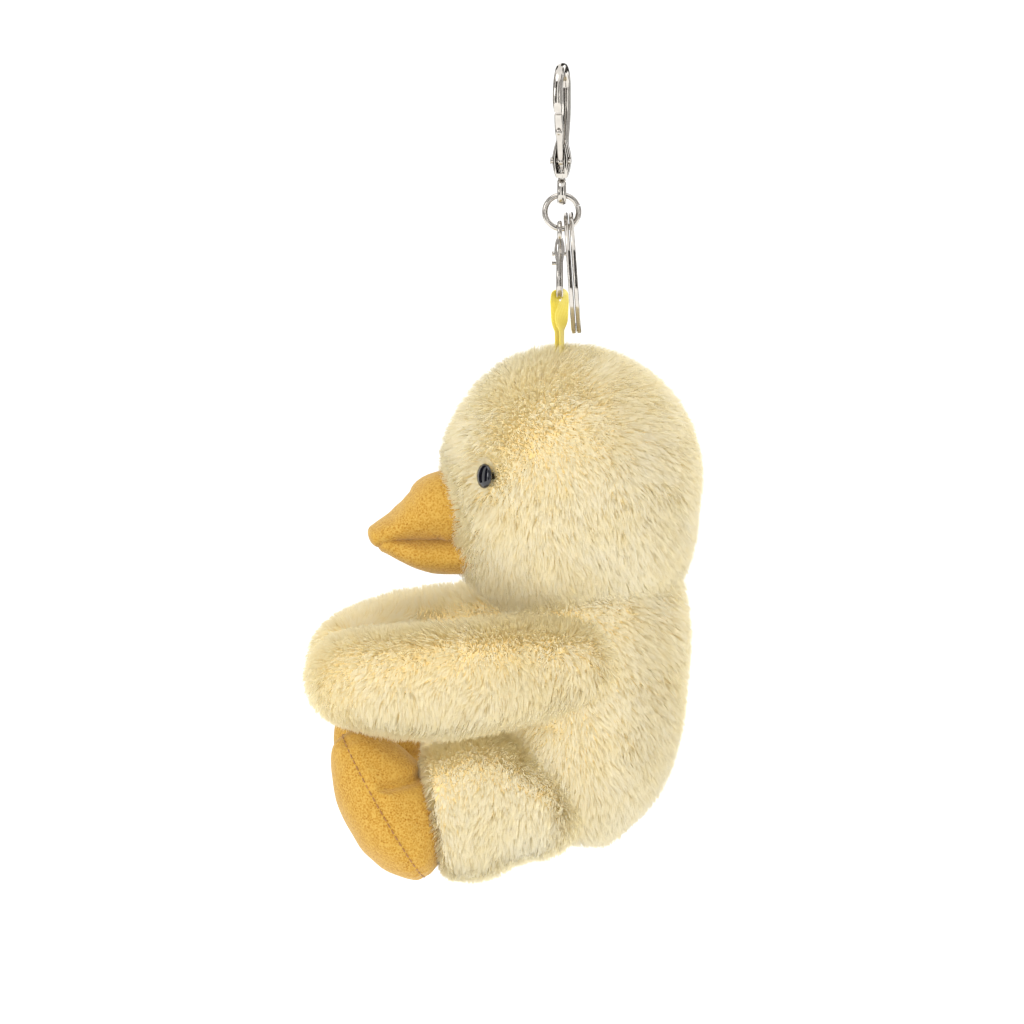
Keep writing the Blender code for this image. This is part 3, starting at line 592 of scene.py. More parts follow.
def make_gate(name, size, place):
    between = gate_line(size)
    x, z = size["offset"], -size["rivet"]
    foot, leaf = size["pin"] + PIN_GAP + 0.3 * MM, size["slot"] - PIN_GAP
    full = size["thick"] * 0.92
    rows = [
        (x, z - foot * 0.9, foot * 0.6, leaf),
        (x, z - foot * 0.3, foot, leaf),
        (x, z + foot * 0.4, foot, leaf),
    ]
    bar = size["half"]
    for share, half, thick in ((0.3, foot, leaf), (0.48, bar * 0.8, leaf), (0.62, bar * 0.85, full),
                               (0.8, bar * 0.8, full), (1.0, bar * 0.6, full * 0.9)):
        point = between(share)
        rows.append((point.x, point.z, half, thick))
    stations = [((a, 0, b), c, d) for a, b, c, d in smooth_through(rows, 4)]
    gate = piece(name, swept(stations, ACROSS, BAR_SIDES, SQUARISH), nickel, place)
    thumb = between(0.62) + Vector((bar * 1.15, 0, 0))
    rings = []
    for t in np.linspace(-1.5, 1.5, 13):
        out, up = Vector((bar * 0.75 * math.cos(t), 0, 0)), UP * bar * 0.6 * math.cos(t)
        rings.append(oval(thumb + ACROSS * full * 0.8 * math.sin(t), out, up, 20))
    carve(gate, "UNION", skinned(rings), place=place)
    if size["peg"]:
        root = between(0.55)
        peg = rod(root, root - ACROSS * (full + size["peg"]), bar * 0.5)
        carve(gate, "UNION", peg, place=place)
    hole = rod((x, -10 * MM, z), (x, 10 * MM, z), size["pin"] + PIN_GAP)
    carve(gate, "DIFFERENCE", hole, place=place)
    return gate


def make_rivet(name, size, place):
    """A pin with two domed heads, turned in one piece."""
    x, z = size["offset"], -size["rivet"]
    lip, reach, pin = size["deep"] + PIN_GAP, size["deep"] + size["proud"], size["pin"]
    head = [(lip, pin), (lip, pin * 1.7), (lip + (reach - lip) * 0.6, pin * 1.6), (reach + 0.1 * MM, pin)]
    rows = [(-y, r) for y, r in head[::-1]] + head
    rings = [oval(Vector((x, y, z)), Vector((r, 0, 0)), UP * r, 28) for y, r in rows]
    return piece(name, skinned(rings), nickel, place)


print("gate and rivet ready")

# %% [markdown]
# ## Snap hook
# The hook is turned ten degrees on its swivel, as it happens to hang. A pocket in the clevis
# floor takes the head of the swivel's post, with a small gap so that it spins.


# %% Cast the hook
def finish_metal(made, body, *nodes, width=0.1 * MM):
    break_edges(made, width)
    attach(made, body)
    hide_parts(*nodes)
    return len(made.data.polygons)


HOOK_YAW = math.radians(-10)
hook_place = Matrix.Rotation(HOOK_YAW, 4, "Z")
POST_RADIUS, POST_HEAD_RADIUS, POST_HEAD_HEIGHT = 0.9 * MM, 1.5 * MM, 0.7 * MM
TOUCH_GAP = 0.3 * MM
hook_claw = cast_claw("hook_casting", HOOK, hook_place)
floor_low, floor_top = -HOOK["bottom"], -HOOK["bottom"] + CLEVIS_FLOOR
pocket_top = floor_top + POST_HEAD_HEIGHT + 2 * TOUCH_GAP
pocket = rod((0, 0, floor_top), (0, 0, pocket_top), POST_HEAD_RADIUS + TOUCH_GAP)
bore = rod((0, 0, floor_low - MM), (0, 0, floor_top + 0.2 * MM), POST_RADIUS + PIN_GAP)
carve(hook_claw, "DIFFERENCE", pocket, bore, place=hook_place)
print("hook faces:", finish_metal(hook_claw, "hook", "hook_body"))
hook_gate = make_gate("hook_latch", HOOK, hook_place)
print("gate faces:", finish_metal(hook_gate, "hook_gate", "hook_gate"))
hook_rivet = make_rivet("hook_pin", HOOK, hook_place)
print("rivet faces:", finish_metal(hook_rivet, "hook", "hook_rivet", width=0.05 * MM))

# %% [markdown]
# ## Small clasp
# The clasp is the same casting at two thirds of the size, upside down, with an eye at its top
# end for the jump ring. Its place comes from its own hinge in the mechanical model.


# %% Cast the clasp
def hoop(radius, middle, half, thick, steps):
    """A closed path round a ring that stands in the XZ plane."""
    turns = np.linspace(0, FULL_TURN, steps, endpoint=False)
    return [((radius * math.cos(t), 0, middle + radius * math.sin(t)), half, thick) for t in turns]


CLASP_EYE, CLASP_EYE_WIRE = 1.9 * MM, 0.6 * MM
clasp_shift = (0, joint_place["clasp_swing"].y, joint_place["clasp_gate_hinge"].z - CLASP["rivet"])
clasp_place = Matrix.Translation(clasp_shift) @ Matrix.Rotation(math.pi, 4, "Y")
clasp_claw = cast_claw("clasp_casting", CLASP, clasp_place)
eye_ring = hoop(CLASP_EYE, -CLASP["bottom"] - CLASP_EYE, CLASP_EYE_WIRE, CLASP_EYE_WIRE, 40)
carve(clasp_claw, "UNION", swept(eye_ring, ACROSS, 20, closed=True), place=clasp_place)
print("clasp faces:", finish_metal(clasp_claw, "clasp", "clasp_body", width=0.07 * MM))
clasp_gate = make_gate("clasp_latch", CLASP, clasp_place)
print("gate faces:", finish_metal(clasp_gate, "clasp_gate", "clasp_gate", width=0.07 * MM))
clasp_rivet = make_rivet("clasp_pin", CLASP, clasp_place)
print("rivet faces:", finish_metal(clasp_rivet, "clasp", "clasp_rivet", width=0.03 * MM))

# %% [markdown]
# ## Swivel eye
# The swivel eye is a flattened loop on a headed post that spins in the hook's clevis, so that a
# bag never twists the toy. The loop is swept round a circle and the post is joined on.

# %% Swivel eye
LOOP_RADIUS, LOOP_WIRE, LOOP_WIDE = 2.4 * MM, 0.8 * MM, 1.1 * MM
loop_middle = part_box("swivel_eye")[0].z + LOOP_WIRE + LOOP_RADIUS
loop_path = hoop(LOOP_RADIUS, loop_middle, LOOP_WIRE, LOOP_WIDE, 48)
swivel = piece("swivel_loop", swept(loop_path, ACROSS, 24, SOFT_SQUARE, closed=True), nickel)
post_head = floor_top + TOUCH_GAP
post_low, post_high = (0, 0, loop_middle + LOOP_RADIUS), (0, 0, post_head + POST_HEAD_HEIGHT / 2)
cap = rod((0, 0, post_head), (0, 0, post_head + POST_HEAD_HEIGHT), POST_HEAD_RADIUS)
carve(swivel, "UNION", rod(post_low, post_high, POST_RADIUS), cap)
print("swivel faces:", finish_metal(swivel, "swivel", "swivel_eye", width=0.08 * MM))

# %% [markdown]
# ## Jump ring
# A jump ring is a piece of round wire bent into a circle, with a fine cut where it was closed.
# It is swept from one side of the cut to the other, so the cut is a real gap.

# %% Jump ring
JUMP_RADIUS, JUMP_WIRE, JUMP_CUT = 4.1 * MM, 0.68 * MM, math.radians(1.5)
jump_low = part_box("jump_ring")[0].z
jump_middle = jump_low + JUMP_WIRE + JUMP_RADIUS
cut_at = math.radians(20) + JUMP_CUT / 2
wire = []
for t in np.linspace(cut_at, cut_at + FULL_TURN - JUMP_CUT, 72):
    bend = (0, JUMP_RADIUS * math.cos(t), jump_middle + JUMP_RADIUS * math.sin(t))
    wire.append((bend, JUMP_WIRE, JUMP_WIRE))
jump = piece("jump_wire", swept(wire, Vector((1, 0, 0)), 20), nickel)
print("jump ring faces:", finish_metal(jump, "jump_ring", "jump_ring"))

# %% [markdown]
# ## Split ring
# A key ring is flat wire wound twice, so a key can be worked in between the coils. The path
# runs once round on one side, climbs over in a short ramp, and runs once round on the other.

# %% Split ring
SPLIT_OUTER, SPLIT_WIDTH, SPLIT_COIL, SPLIT_GAP = 14.8 * MM, 1.9 * MM, 1.1 * MM, 0.2 * MM
COIL_STEPS = 90
SPLIT_RAMP, SPLIT_LEAN, SPLIT_SHIFT = math.radians(14), math.radians(4), 1.8 * MM
split_hang = joint_place["split_ring_swing"]
split_drop = SPLIT_OUTER - SPLIT_WIDTH - (JUMP_WIRE + TOUCH_GAP + SPLIT_SHIFT * 0.36)
flat_turn = FULL_TURN - 2 * SPLIT_RAMP
first_turn = -math.pi / 2 + SPLIT_RAMP
layer = (SPLIT_COIL + SPLIT_GAP) / 2
coil = [(first_turn + flat_turn * i / COIL_STEPS, -layer) for i in range(COIL_STEPS + 1)]
climbed = coil[-1][0] + 2 * SPLIT_RAMP
coil += [(climbed + flat_turn * i / COIL_STEPS, layer) for i in range(COIL_STEPS + 1)]
rings = []
for angle, side in coil:
    out = Vector((math.cos(angle), 0, math.sin(angle)))
    middle = out * (SPLIT_OUTER - SPLIT_WIDTH / 2) + ACROSS * side - UP * split_drop
    rings.append(oval(middle, out * SPLIT_WIDTH / 2, ACROSS * SPLIT_COIL / 2, 20, FLAT_WIRE))
split_place = Matrix.Translation(split_hang) @ Matrix.Rotation(SPLIT_LEAN, 4, "X")
split = piece("split_coils", skinned(rings), nickel, split_place)
print("split ring faces:", finish_metal(split, "split_ring", "split_ring", width=0.04 * MM))

# %% [markdown]
# ## Springs
# The two leaf springs behind the gates are right as they are in the mechanical model. They
# only get the plate.

# %% Springs keep their shape
for name in ("hook_spring", "clasp_spring"):
    frame["nodes"][name].data.materials.clear()
    frame["nodes"][name].data.materials.append(nickel.material)
print("springs plated")

# %% [markdown]
# ## Ribbon
# A narrow woven satin ribbon goes over the clasp's bar and its two ends are sewn into the
# crown. Its weave is two crossed wave patterns, weft over warp, in the colour and the bump.
# Ribbon is thin enough to glow, so some light goes through it.

# %% Ribbon weave
ribbon_dye = Recipe("lemon_ribbon", Roughness=0.42, Sheen_Weight=0.3, Specular_IOR_Level=0.4)
ribbon_place = ribbon_dye.place()


def threads(direction, width, wander):
    sockets = {"Vector": ribbon_place, "Scale": 1 / width, "Distortion": wander, "Detail": 1.0}
    return ribbon_dye.node("TexWave", {"bands_direction": direction}, sockets)


thread = threads("Z", 1.1 * MM, 0.6) * 0.6 + threads("X", 1.3 * MM, 0.4) * 0.4
ribbon_dye.feed(Base_Color=ribbon_dye.mix(thread, dye(226, 208, 74), dye(243, 233, 142)))
ribbon_dye.bump(thread, 0.03 * MM, 0.7)
ribbon_dye.glow(0.38, dye(255, 246, 130))
print("ribbon woven")

# %% [markdown]
# ## Ribbon strip
# The strip is gathered where it bends over the bar, its layers meet below it and lie flat on
# each other down to the crown. Each cross-section is a flat oval with thicker woven edges,
# and the whole strip takes a lazy twist on its way down.

# %% Ribbon strip
RIBBON_WIDTH, RIBBON_GATHERED, RIBBON_THICK = 4.5 * MM, 3.0 * MM, 0.5 * MM
RIBBON_NECK, RIBBON_TAIL = 8.5 * MM, 23.0 * MM
bar = joint_place["ribbon_swing"]
claw_mean = CLASP["inner"] + CLASP["half"]
claw_rise = claw_mean - math.sqrt(claw_mean**2 - (RIBBON_GATHERED / 2) ** 2)
bow = CLASP["thick"] + claw_rise + 0.2 * MM + RIBBON_THICK / 2
layers = 0.5 * MM
falling = smooth_through([
    (bow * 0.96, -1.4 * MM), (bow * 0.7, -3.6 * MM), (bow * 0.42, -6.2 * MM),
    (layers * 1.15, -9.5 * MM), (layers, -RIBBON_TAIL),
], 8)
over = [(bow * math.cos(t), bow * math.sin(t)) for t in np.linspace(0, math.pi, 25)]
rising = [(-y, z) for y, z in falling]
ribbon_path = [Vector((0, y, z)) for y, z in falling[::-1] + over + rising]
rings = []
for point, way in zip(ribbon_path, directions(ribbon_path)):
    out = way.cross(Vector((1, 0, 0))).normalized()
    opened = min(max(1 + point.z / RIBBON_NECK, 0), 1)
    reach = (RIBBON_WIDTH + (RIBBON_GATHERED - RIBBON_WIDTH) * opened) / 2
    ring = []
    for t in np.linspace(0, FULL_TURN, 28, endpoint=False):
        across = math.copysign(abs(math.cos(t)) ** 0.35, math.cos(t))
        bulge = 0.5 + 0.5 * (abs(across) > 0.85) * 0.6
        cup = -0.12 * MM * opened * (1 - across**2)
        lift = RIBBON_THICK / 2 * math.sin(t) * bulge + cup
        ring.append(point + Vector((reach * across, 0, 0)) + out * lift)
    turned = -26 - 40 * math.sin(math.pi * (1 - opened)) + 12 * (1 - opened)
    twist = Matrix.Rotation(math.radians(turned), 3, "Z")
    rings.append([twist @ p for p in ring])
ribbon = piece("ribbon_strip", skinned(rings), ribbon_dye, Matrix.Translation(bar), 60)
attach(ribbon, "head")
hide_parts("ribbon_loop")
ribbon_length = sum((b - a).length for a, b in zip(ribbon_path, ribbon_path[1:]))
print("ribbon path", in_mm([ribbon_length]), "mm")

# %% [markdown]
# ## Long pile: how the coat is grown
# The fabric is a knitted backing with a thick pile. The backing is a closed, stuffed form; the
# pile is thousands of flat, tapering tufts that start on it, bend over in the direction the
# cloth was brushed and lean together in small clumps. A particle system would do this too, but
# tufts made as mesh can be exported. Each tuft stores its shade and its height in a UV map,
# and the pile material reads only that, so colour stays with the tuft wherever it moves. Pile
# is golden at the roots and cream at the tips, and half of the light goes through it. The
# golden roots are partly the pile's own colour and partly painted shade of the deep pile.

# %% Pile material
def pile_finish(name, roots, middles, tips):
    """Each of roots, middles and tips is a golden and a creamy shade."""
    pile = Recipe(name, Sheen_Weight=0.2, Sheen_Roughness=0.5, Specular_IOR_Level=0.08)
    pile.shader.inputs["Sheen Tint"].default_value = (1, 0.97, 0.88, 1)
    tuft = pile.node("SeparateXYZ", {}, {0: pile.node("UVMap", {"uv_map": "OFBake"})})
    height = Value(pile, tuft.socket.node.outputs["Y"])
    # Golden roots, cream tips: partly the pile's own colour, partly painted shade of the deep pile.
    low = pile.ramp(height, (0.0, roots[0]), (0.45, middles[0]), (1.0, tips[0]))
    high = pile.ramp(height, (0.0, roots[1]), (0.45, middles[1]), (1.0, tips[1]))
    pile.feed(Base_Color=pile.mix(tuft, low, high), Roughness=0.9 - height * 0.15)
    pile.glow(0.5, dye(255, 246, 212))
    return pile


# The golden root colours are partly the pile's own colour and partly painted shade of the deep pile.
butter_pile = pile_finish(
    "butter_pile",
    (dye(244, 211, 128), dye(252, 232, 170)),
    (dye(250, 232, 174), dye(255, 248, 222)),
    (dye(254, 246, 210), dye(255, 254, 243)),
)
backing_knit = Recipe("knitted_backing", Roughness=0.95, Sheen_Weight=0.2)
backing_place = backing_knit.place()
loops = backing_knit.node("TexVoronoi", {}, {"Vector": backing_place, "Scale": 1 / (0.7 * MM)})
patches = backing_knit.noise(backing_place, 9 * MM)
knitted = backing_knit.mix(loops + patches * 0.4, dye(244, 216, 150), dye(252, 236, 186))
backing_knit.feed(Base_Color=knitted)
backing_knit.bump(loops, 0.25 * MM, 0.8)
print("pile and backing mixed")


# %% [markdown]
# ## Read a backing
# Half a million points are too many for Python loops, so a backing is read once into arrays,
# and everything after that is sums on whole arrays. Roots are scattered evenly by area. A tree
# of the faces tells how deep a root would stand inside a neighbour.


# %% Surface of a backing
class Surface:
    """A mesh read once as arrays, to grow tufts on and to test what lies inside it."""

    def __init__(self, made):
        mesh = made.data
        mesh.calc_loop_triangles()
        self.points = np.empty(len(mesh.vertices) * 3, np.float32)
        mesh.vertices.foreach_get("co", self.points)
        self.normals = np.empty_like(self.points)
        mesh.vertices.foreach_get("normal", self.normals)
        self.points, self.normals = self.points.reshape(-1, 3), self.normals.reshape(-1, 3)
        faces = np.empty(len(mesh.loop_triangles) * 3, np.int32)
        mesh.loop_triangles.foreach_get("vertices", faces)
        self.faces = faces.reshape(-1, 3)
        a, b, c = (self.points[self.faces[:, i]] for i in range(3))
        self.areas = np.linalg.norm(np.cross(b - a, c - a), axis=1) / 2
        self.tree = BVHTree.FromPolygons(self.points.tolist(), self.faces.tolist())

    def scatter(self, count, chance):
        face = chance.choice(len(self.faces), count, p=self.areas / self.areas.sum())
        a, b = np.sqrt(chance.random(count)), chance.random(count)
        weights = np.stack([1 - a, a * (1 - b), a * b], 1)[:, :, None]
        points = (self.points[self.faces[face]] * weights).sum(1)
        return points, unit((self.normals[self.faces[face]] * weights).sum(1))

    def depth(self, points):
        """How far inside the form each point is; negative outside."""
        found = np.empty(len(points))
        for i, point in enumerate(points.tolist()):
            near, normal, _, distance = self.tree.find_nearest(point)
            found[i] = distance if (near - Vector(point)).dot(normal) > 0 else -distance
        return found


print("surfaces can be read")


# %% Small sums on arrays
def unit(rows):
    return rows / np.maximum(np.linalg.norm(rows, axis=1, keepdims=True), 1e-9)


def ease(values, low, high):
    t = np.clip((values - low) / (high - low), 0, 1)
    return t * t * (3 - 2 * t)


def dots(a, b):
    return (a * b).sum(1, keepdims=True)


def ripple(points, size, seed):
    """A smooth random number from -1 to 1 over space, about size from crest to crest."""
    chance = np.random.default_rng(seed)
    waves = unit(chance.normal(size=(7, 3))) * (FULL_TURN / size) * chance.uniform(0.6, 1.5, (7, 1))
    return np.sin(points @ waves.T + chance.uniform(0, FULL_TURN, 7)).sum(1) / 4.2


print("a ripple of one place:", ripple(np.zeros((1, 3)), 10 * MM, 5).round(2))

# %% [markdown]
# ## Tufts
# A tuft is a flat, tapering blade with three rows of two points and a tip: two quads and a
# triangle more. Its normals are set to face the way the cloth faces, so a blade takes
# light as part of a soft coat and not as a sliver of paper.

# %% Tuft mesh
SEGMENTS = 3
TUFT_WIDTH = np.array([0.145, 0.13, 0.085]) * MM
TUFT_HEIGHTS = np.array([0.02, 0.02, 0.35, 0.35, 0.68, 0.68, 0.98])
TUFT_CORNERS = np.array([0, 2, 3, 1, 2, 4, 5, 3, 4, 6, 5])
TUFT_STARTS = np.array([0, 4, 8])
TUFT_POINTS = len(TUFT_HEIGHTS)


def tuft_mesh(name, joints, side, normals, shade):
    """One mesh of all tufts. joints holds their bends, from root to tip."""
    count = len(side)
    rows = [p + s * side * w for p, w in zip(joints[:SEGMENTS], TUFT_WIDTH) for s in (-1, 1)]
    points = np.stack([*rows, joints[SEGMENTS]], 1).reshape(-1, 3)
    number = np.arange(count)[:, None]
    index = (number * TUFT_POINTS + TUFT_CORNERS).reshape(-1)
    starts = (number * len(TUFT_CORNERS) + TUFT_STARTS).reshape(-1)
    mesh = bpy.data.meshes.new(name)
    mesh.vertices.add(len(points))
    mesh.loops.add(len(index))
    mesh.polygons.add(len(starts))
    mesh.vertices.foreach_set("co", points.astype(np.float32).reshape(-1))
    mesh.loops.foreach_set("vertex_index", index.astype(np.int32))
    mesh.polygons.foreach_set("loop_start", starts.astype(np.int32))
    mesh.update(calc_edges=True)
    uv = np.stack([np.repeat(shade, TUFT_POINTS), np.tile(TUFT_HEIGHTS, count)], 1)[index]
    layer = mesh.uv_layers.new(name="OFBake")
    layer.uv.foreach_set("vector", uv.astype(np.float32).reshape(-1))
    mesh.polygons.foreach_set("use_smooth", np.ones(len(starts), bool))
    mesh.normals_split_custom_set_from_vertices(np.repeat(normals, TUFT_POINTS, 0))
    return mesh


print("ready to grow")

# %% [markdown]
# ## Stuffed forms
# Each form is a row of ovals, as wide and high as the stuffed fabric, joined into a skin with
# rounded ends. The backing lies below the outline by about the height of the pile, so that
# the tips of the pile, and not the cloth, reach the toy's real size.

# %% Skin over ribs
PILE_HEIGHT = 3.9 * MM
CAP_TURNS = np.radians((12, 24, 36, 48, 60, 71, 80, 87))


def soft_form(ribs, reference, cap, first_cap=None, grow=0.0, sides=48, steps=4):
    """Ribs are (x, y, z, half width, half height); cap is the length of the rounded end."""
    ribs = smooth_through(ribs, steps)
    points = [Vector(rib[:3]) for rib in ribs]
    heading = directions(points)

    def ring(i, along, share):
        side = heading[i].cross(reference).normalized()
        up = side.cross(heading[i])
        wide, high = (max(half + grow, 0.8 * MM) * share for half in ribs[i][3:5])
        return oval(points[i] + heading[i] * along, side * wide, up * high, sides)

    rings = [ring(i, 0, 1) for i in range(len(ribs))]
    for i, way, length in ((0, -1, first_cap), (len(ribs) - 1, 1, cap)):
        if length is None:
            continue
        reach = way * max(length + grow, 0.5 * MM)
        tips = [ring(i, reach * math.sin(t), math.cos(t)) for t in CAP_TURNS]
        rings = tips[::-1] + rings if way < 0 else rings + tips
    return skinned(rings)


def millimetres(*rows):
    return [[number * MM for number in row] for row in rows]


print("ready to sew")

# %% [markdown]
# ## Ribs
# Below are the ribs of the body and of the left limbs. A body rib is its depth below the neck,
# its front, its back and its half width. A limb rib is its distance out to the side, forward
# and down, and its half width and half height. A limb starts in a ball inside the body.

# %% Ribs of body, arm and leg
BODY = millimetres(
    (-9.0, -9.0, 31.2, 19.0), (0.5, -14.0, 32.3, 24.0), (14.5, -16.0, 31.6, 27.5),
    (27.5, -17.0, 30.2, 28.5), (39.5, -16.5, 25.8, 27.2), (49.5, -13.0, 17.2, 22.0),
)
BODY_CAPS = (8.0 * MM, 7.5 * MM)
SHOULDER, SHOULDER_BALL = millimetres((22.5, -3.0, 10.0))[0], 11.5 * MM
ARM = millimetres(
    (26.8, 7.0, 10.7, 11.2, 13.4), (29.0, 17.5, 11.8, 12.2, 14.6), (29.2, 29.0, 13.1, 12.6, 14.9),
    (25.8, 40.5, 13.9, 12.8, 14.4), (18.2, 49.6, 14.7, 12.8, 13.8), (10.5, 53.0, 15.5, 11.8, 12.9),
)
HIP, HIP_BALL = millimetres((16.5, 7.0, 46.0))[0], 13.8 * MM
LEG = millimetres(
    (17.2, 17.0, 44.9, 14.2, 18.6), (17.5, 23.0, 46.3, 14.6, 18.7), (17.5, 29.5, 47.6, 14.4, 18.6),
)
ARM_CAP, LEG_CAP = 8.5 * MM, 4.6 * MM


def limb_ribs(side, root, ball, ribs):
    start = (side * root[0], -root[1], NECK.z - root[2], ball, ball)
    rest = [(side * x, -y, NECK.z - below, *halves) for x, y, below, *halves in ribs]
    return [start] + rest


print("ribs:", len(BODY), "body,", len(ARM), "arm,", len(LEG), "leg")

# %% [markdown]
# ## Backings
# The head is a ball with a chin pressed in and a nape let out. The rest are ribbed forms. The
# backings of the limbs cast no shadow: the pile on them carries painted shade in its golden
# roots, and real pile lets most of the light through.


# %% Head and body
def backing(name, bm, body, fill, *nodes):
    made = piece(name, bm, backing_knit, smooth_angle=80)
    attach(made, body)
    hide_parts(*nodes)
    return made


ball = bmesh.new()
bmesh.ops.create_icosphere(ball, subdivisions=5, radius=HEAD_RADIUS - PILE_HEIGHT)
for vert in ball.verts:
    along = vert.co / HEAD_RADIUS
    low, back, front = ease(-along.z, 0.15, 0.8), ease(along.y, 0.0, 0.6), ease(-along.y, 0.3, 0.7)
    vert.co += Vector((0, (5.5 * back - 4.8 * front) * MM * low, -4.8 * MM * ease(-along.z, 0.35, 0.85)))
bmesh.ops.translate(ball, vec=HEAD_CENTRE, verts=ball.verts)
head = backing("head_backing", ball, "head", 0.9, "head_skin", "head_filling")
body_ribs = []
for below, front, back, wide in BODY:
    body_ribs.append((0, (front + back) / 2, NECK.z - below, wide, (back - front) / 2))
body_form = soft_form(body_ribs, ACROSS, *BODY_CAPS, -PILE_HEIGHT, 64)
body_nodes = "body_skin", "body_filling", "pellet_pouch"
body = backing("body_backing", body_form, "torso", 0.8, *body_nodes)
print("head and body:", len(head.data.vertices), len(body.data.vertices), "points")


# %% Arms and legs
def limb_backing(limb, label, side, root, ball, ribs, cap):
    form = soft_form(limb_ribs(side, root, ball, ribs), UP, cap, ball, -PILE_HEIGHT)
    nodes = f"{limb}_skin_{label}", f"{limb}_filling_{label}"
    made = backing(f"{limb}_backing_{label}", form, f"{limb}_{label}", 0.7, *nodes)
    made.visible_shadow = False
    return made


limbs = []
for label, side in (("left", 1), ("right", -1)):
    limbs.append(limb_backing("arm", label, side, SHOULDER, SHOULDER_BALL, ARM, ARM_CAP))
    limbs.append(limb_backing("leg", label, side, HIP, HIP_BALL, LEG, LEG_CAP))
forms = {made.name: Surface(made) for made in (head, body, *limbs)}
print({name: f"{form.areas.sum() / MM**2 / 100:.0f} cm2" for name, form in forms.items()})

# %% [markdown]
# ## Brushing
# A comb says which way the pile lies at each place and how firmly it was brushed. The head is
# brushed down and back, and the face outward from the beak and the eyes. Slow waves of random
# direction make the swirls.

# %% Combs
BEAK_ROOT = HEAD_CENTRE + Vector((0, -31.0 * MM, -11.0 * MM))
EYE_ASIDE, EYE_RISE = math.radians(47), math.radians(6)
EYE_OUT, level = [], math.cos(EYE_RISE)
for side in (1, -1):
    out = side * math.sin(EYE_ASIDE) * level, -math.cos(EYE_ASIDE) * level, math.sin(EYE_RISE)
    EYE_OUT.append(Vector(out))
EYE_SPOTS = [HEAD_CENTRE + out * (HEAD_RADIUS - 1.5 * MM) for out in EYE_OUT]


def near(points, place, low, high):
    """1 at the place, 0 beyond high."""
    return 1 - ease(np.linalg.norm(points - np.array(place), axis=1), low, high)


def brushed(way):
    """Cloth brushed one way, with slow swirls in it."""
    def comb(points, normals):
        turn = ripple(points, 26 * MM, 5) * 0.5 + ripple(points, 9 * MM, 6) * 0.35
        down = np.array(way) - normals * dots(normals, np.array(way, float)[None])
        firm = 0.3 + 0.7 * ease(np.linalg.norm(down, axis=1), 0.05, 0.55)[:, None]
        flat = unit(down)
        aside = np.cross(normals, flat)
        return (flat * np.cos(turn)[:, None] + aside * np.sin(turn)[:, None]) * firm
    return comb


def head_comb(points, normals):
    """The head is brushed down and back, and the face outward from the beak."""
    flow = brushed((0, 0.45, -0.9))(points, normals)
    eyes = [(spot, 3 * MM, 8 * MM) for spot in EYE_SPOTS]
    for place, low, high in [(BEAK_ROOT, 9 * MM, 26 * MM), *eyes]:
        share = near(points, place, low, high)[:, None]
        flow = flow * (1 - share) + unit(points - np.array(place)) * share * 0.75
    return flow


print("combs ready")

# %% [markdown]
# ## Length and shade
# The pile is clipped shorter at the hands, round the beak and the eyes and where a leg meets
# its foot. The shade runs from golden, where the pile parts, to cream, where it lies closed.
# The golden is partly the roots' own colour and partly painted shade of the deeper pile.

# %% Length and shade
PILE_LENGTH, HEAD_PILE_LENGTH = 5.1 * MM, 5.2 * MM


def even_length(points):
    return np.full(len(points), PILE_LENGTH)


def limb_length(points):
    """Shorter and smoother towards the hands and where a leg meets its foot."""
    hand = ease(-points[:, 1], 36 * MM, 56 * MM)
    low = 1 - ease(points[:, 2] - NECK.z, -34 * MM, -26 * MM)
    ankle = ease(-points[:, 1], 20 * MM, 27 * MM)
    return PILE_LENGTH * (1 - 0.3 * hand - 0.3 * low * ankle)


def head_length(points):
    """Shorter and smoother round the beak and the eyes."""
    short = near(points, BEAK_ROOT, 12 * MM, 30 * MM) * 0.12
    for spot in EYE_SPOTS:
        short = np.maximum(short, near(points, spot, 3.2 * MM, 8 * MM) * 0.5)
    return HEAD_PILE_LENGTH * (1 - short)


def warm_spots(*spots, cream=0.66):
    """Golden where the pile parts, partly the roots' colour and partly painted shade of the deeper pile:
    0 is golden and 1 is cream.
    """
    def shade(points):
        value = cream + ripple(points, 15 * MM, 11) * 0.2 + ripple(points, 4 * MM, 12) * 0.12
        for place, reach, gold in spots:
            value -= gold * near(points, place, reach * 0.2, reach)
        return value
    return shade


def on_head(x, y, z):
    return HEAD_CENTRE + Vector((x, y, z)) * MM


# Golden spots at the crown and cheeks: painted shade where the pile parts, together with the roots' own
# colour.
crown = [(on_head(x, -4, 29), 13 * MM, 0.3) for x in (8, -8)]
cheeks = [(on_head(x, -9, 4), 14 * MM, 0.1) for x in (27, -27)]
head_shade, plain_shade, arm_shade = warm_spots(*crown, *cheeks), warm_spots(), warm_spots(cream=0.48)
print("lengths and shades ready")

# %% [markdown]
# ## Bending and clumping
# A tuft bends further over from row to row. Clumps come from some tufts that are picked as
# leaders: every other one leans towards its nearest leader, most at the tip, as damp wool does.

# %% Bend and clump
CLUMP, BENDS, FOLLOW = 1.05 * MM, np.radians((10, 27, 46)), (0.12, 0.5, 0.9)


def bend(roots, normals, flow, firm, reach, chance):
    """The joints of all tufts, from a little under the cloth to the tips."""
    joints = [roots - normals * 0.3 * MM]
    for lean in BENDS:
        lean = lean * (0.4 + 0.6 * firm) + chance.normal(0, 0.13, (len(roots), 1))
        joints.append(joints[-1] + (normals * np.cos(lean) + flow * np.sin(lean)) * reach / SEGMENTS)
    return joints


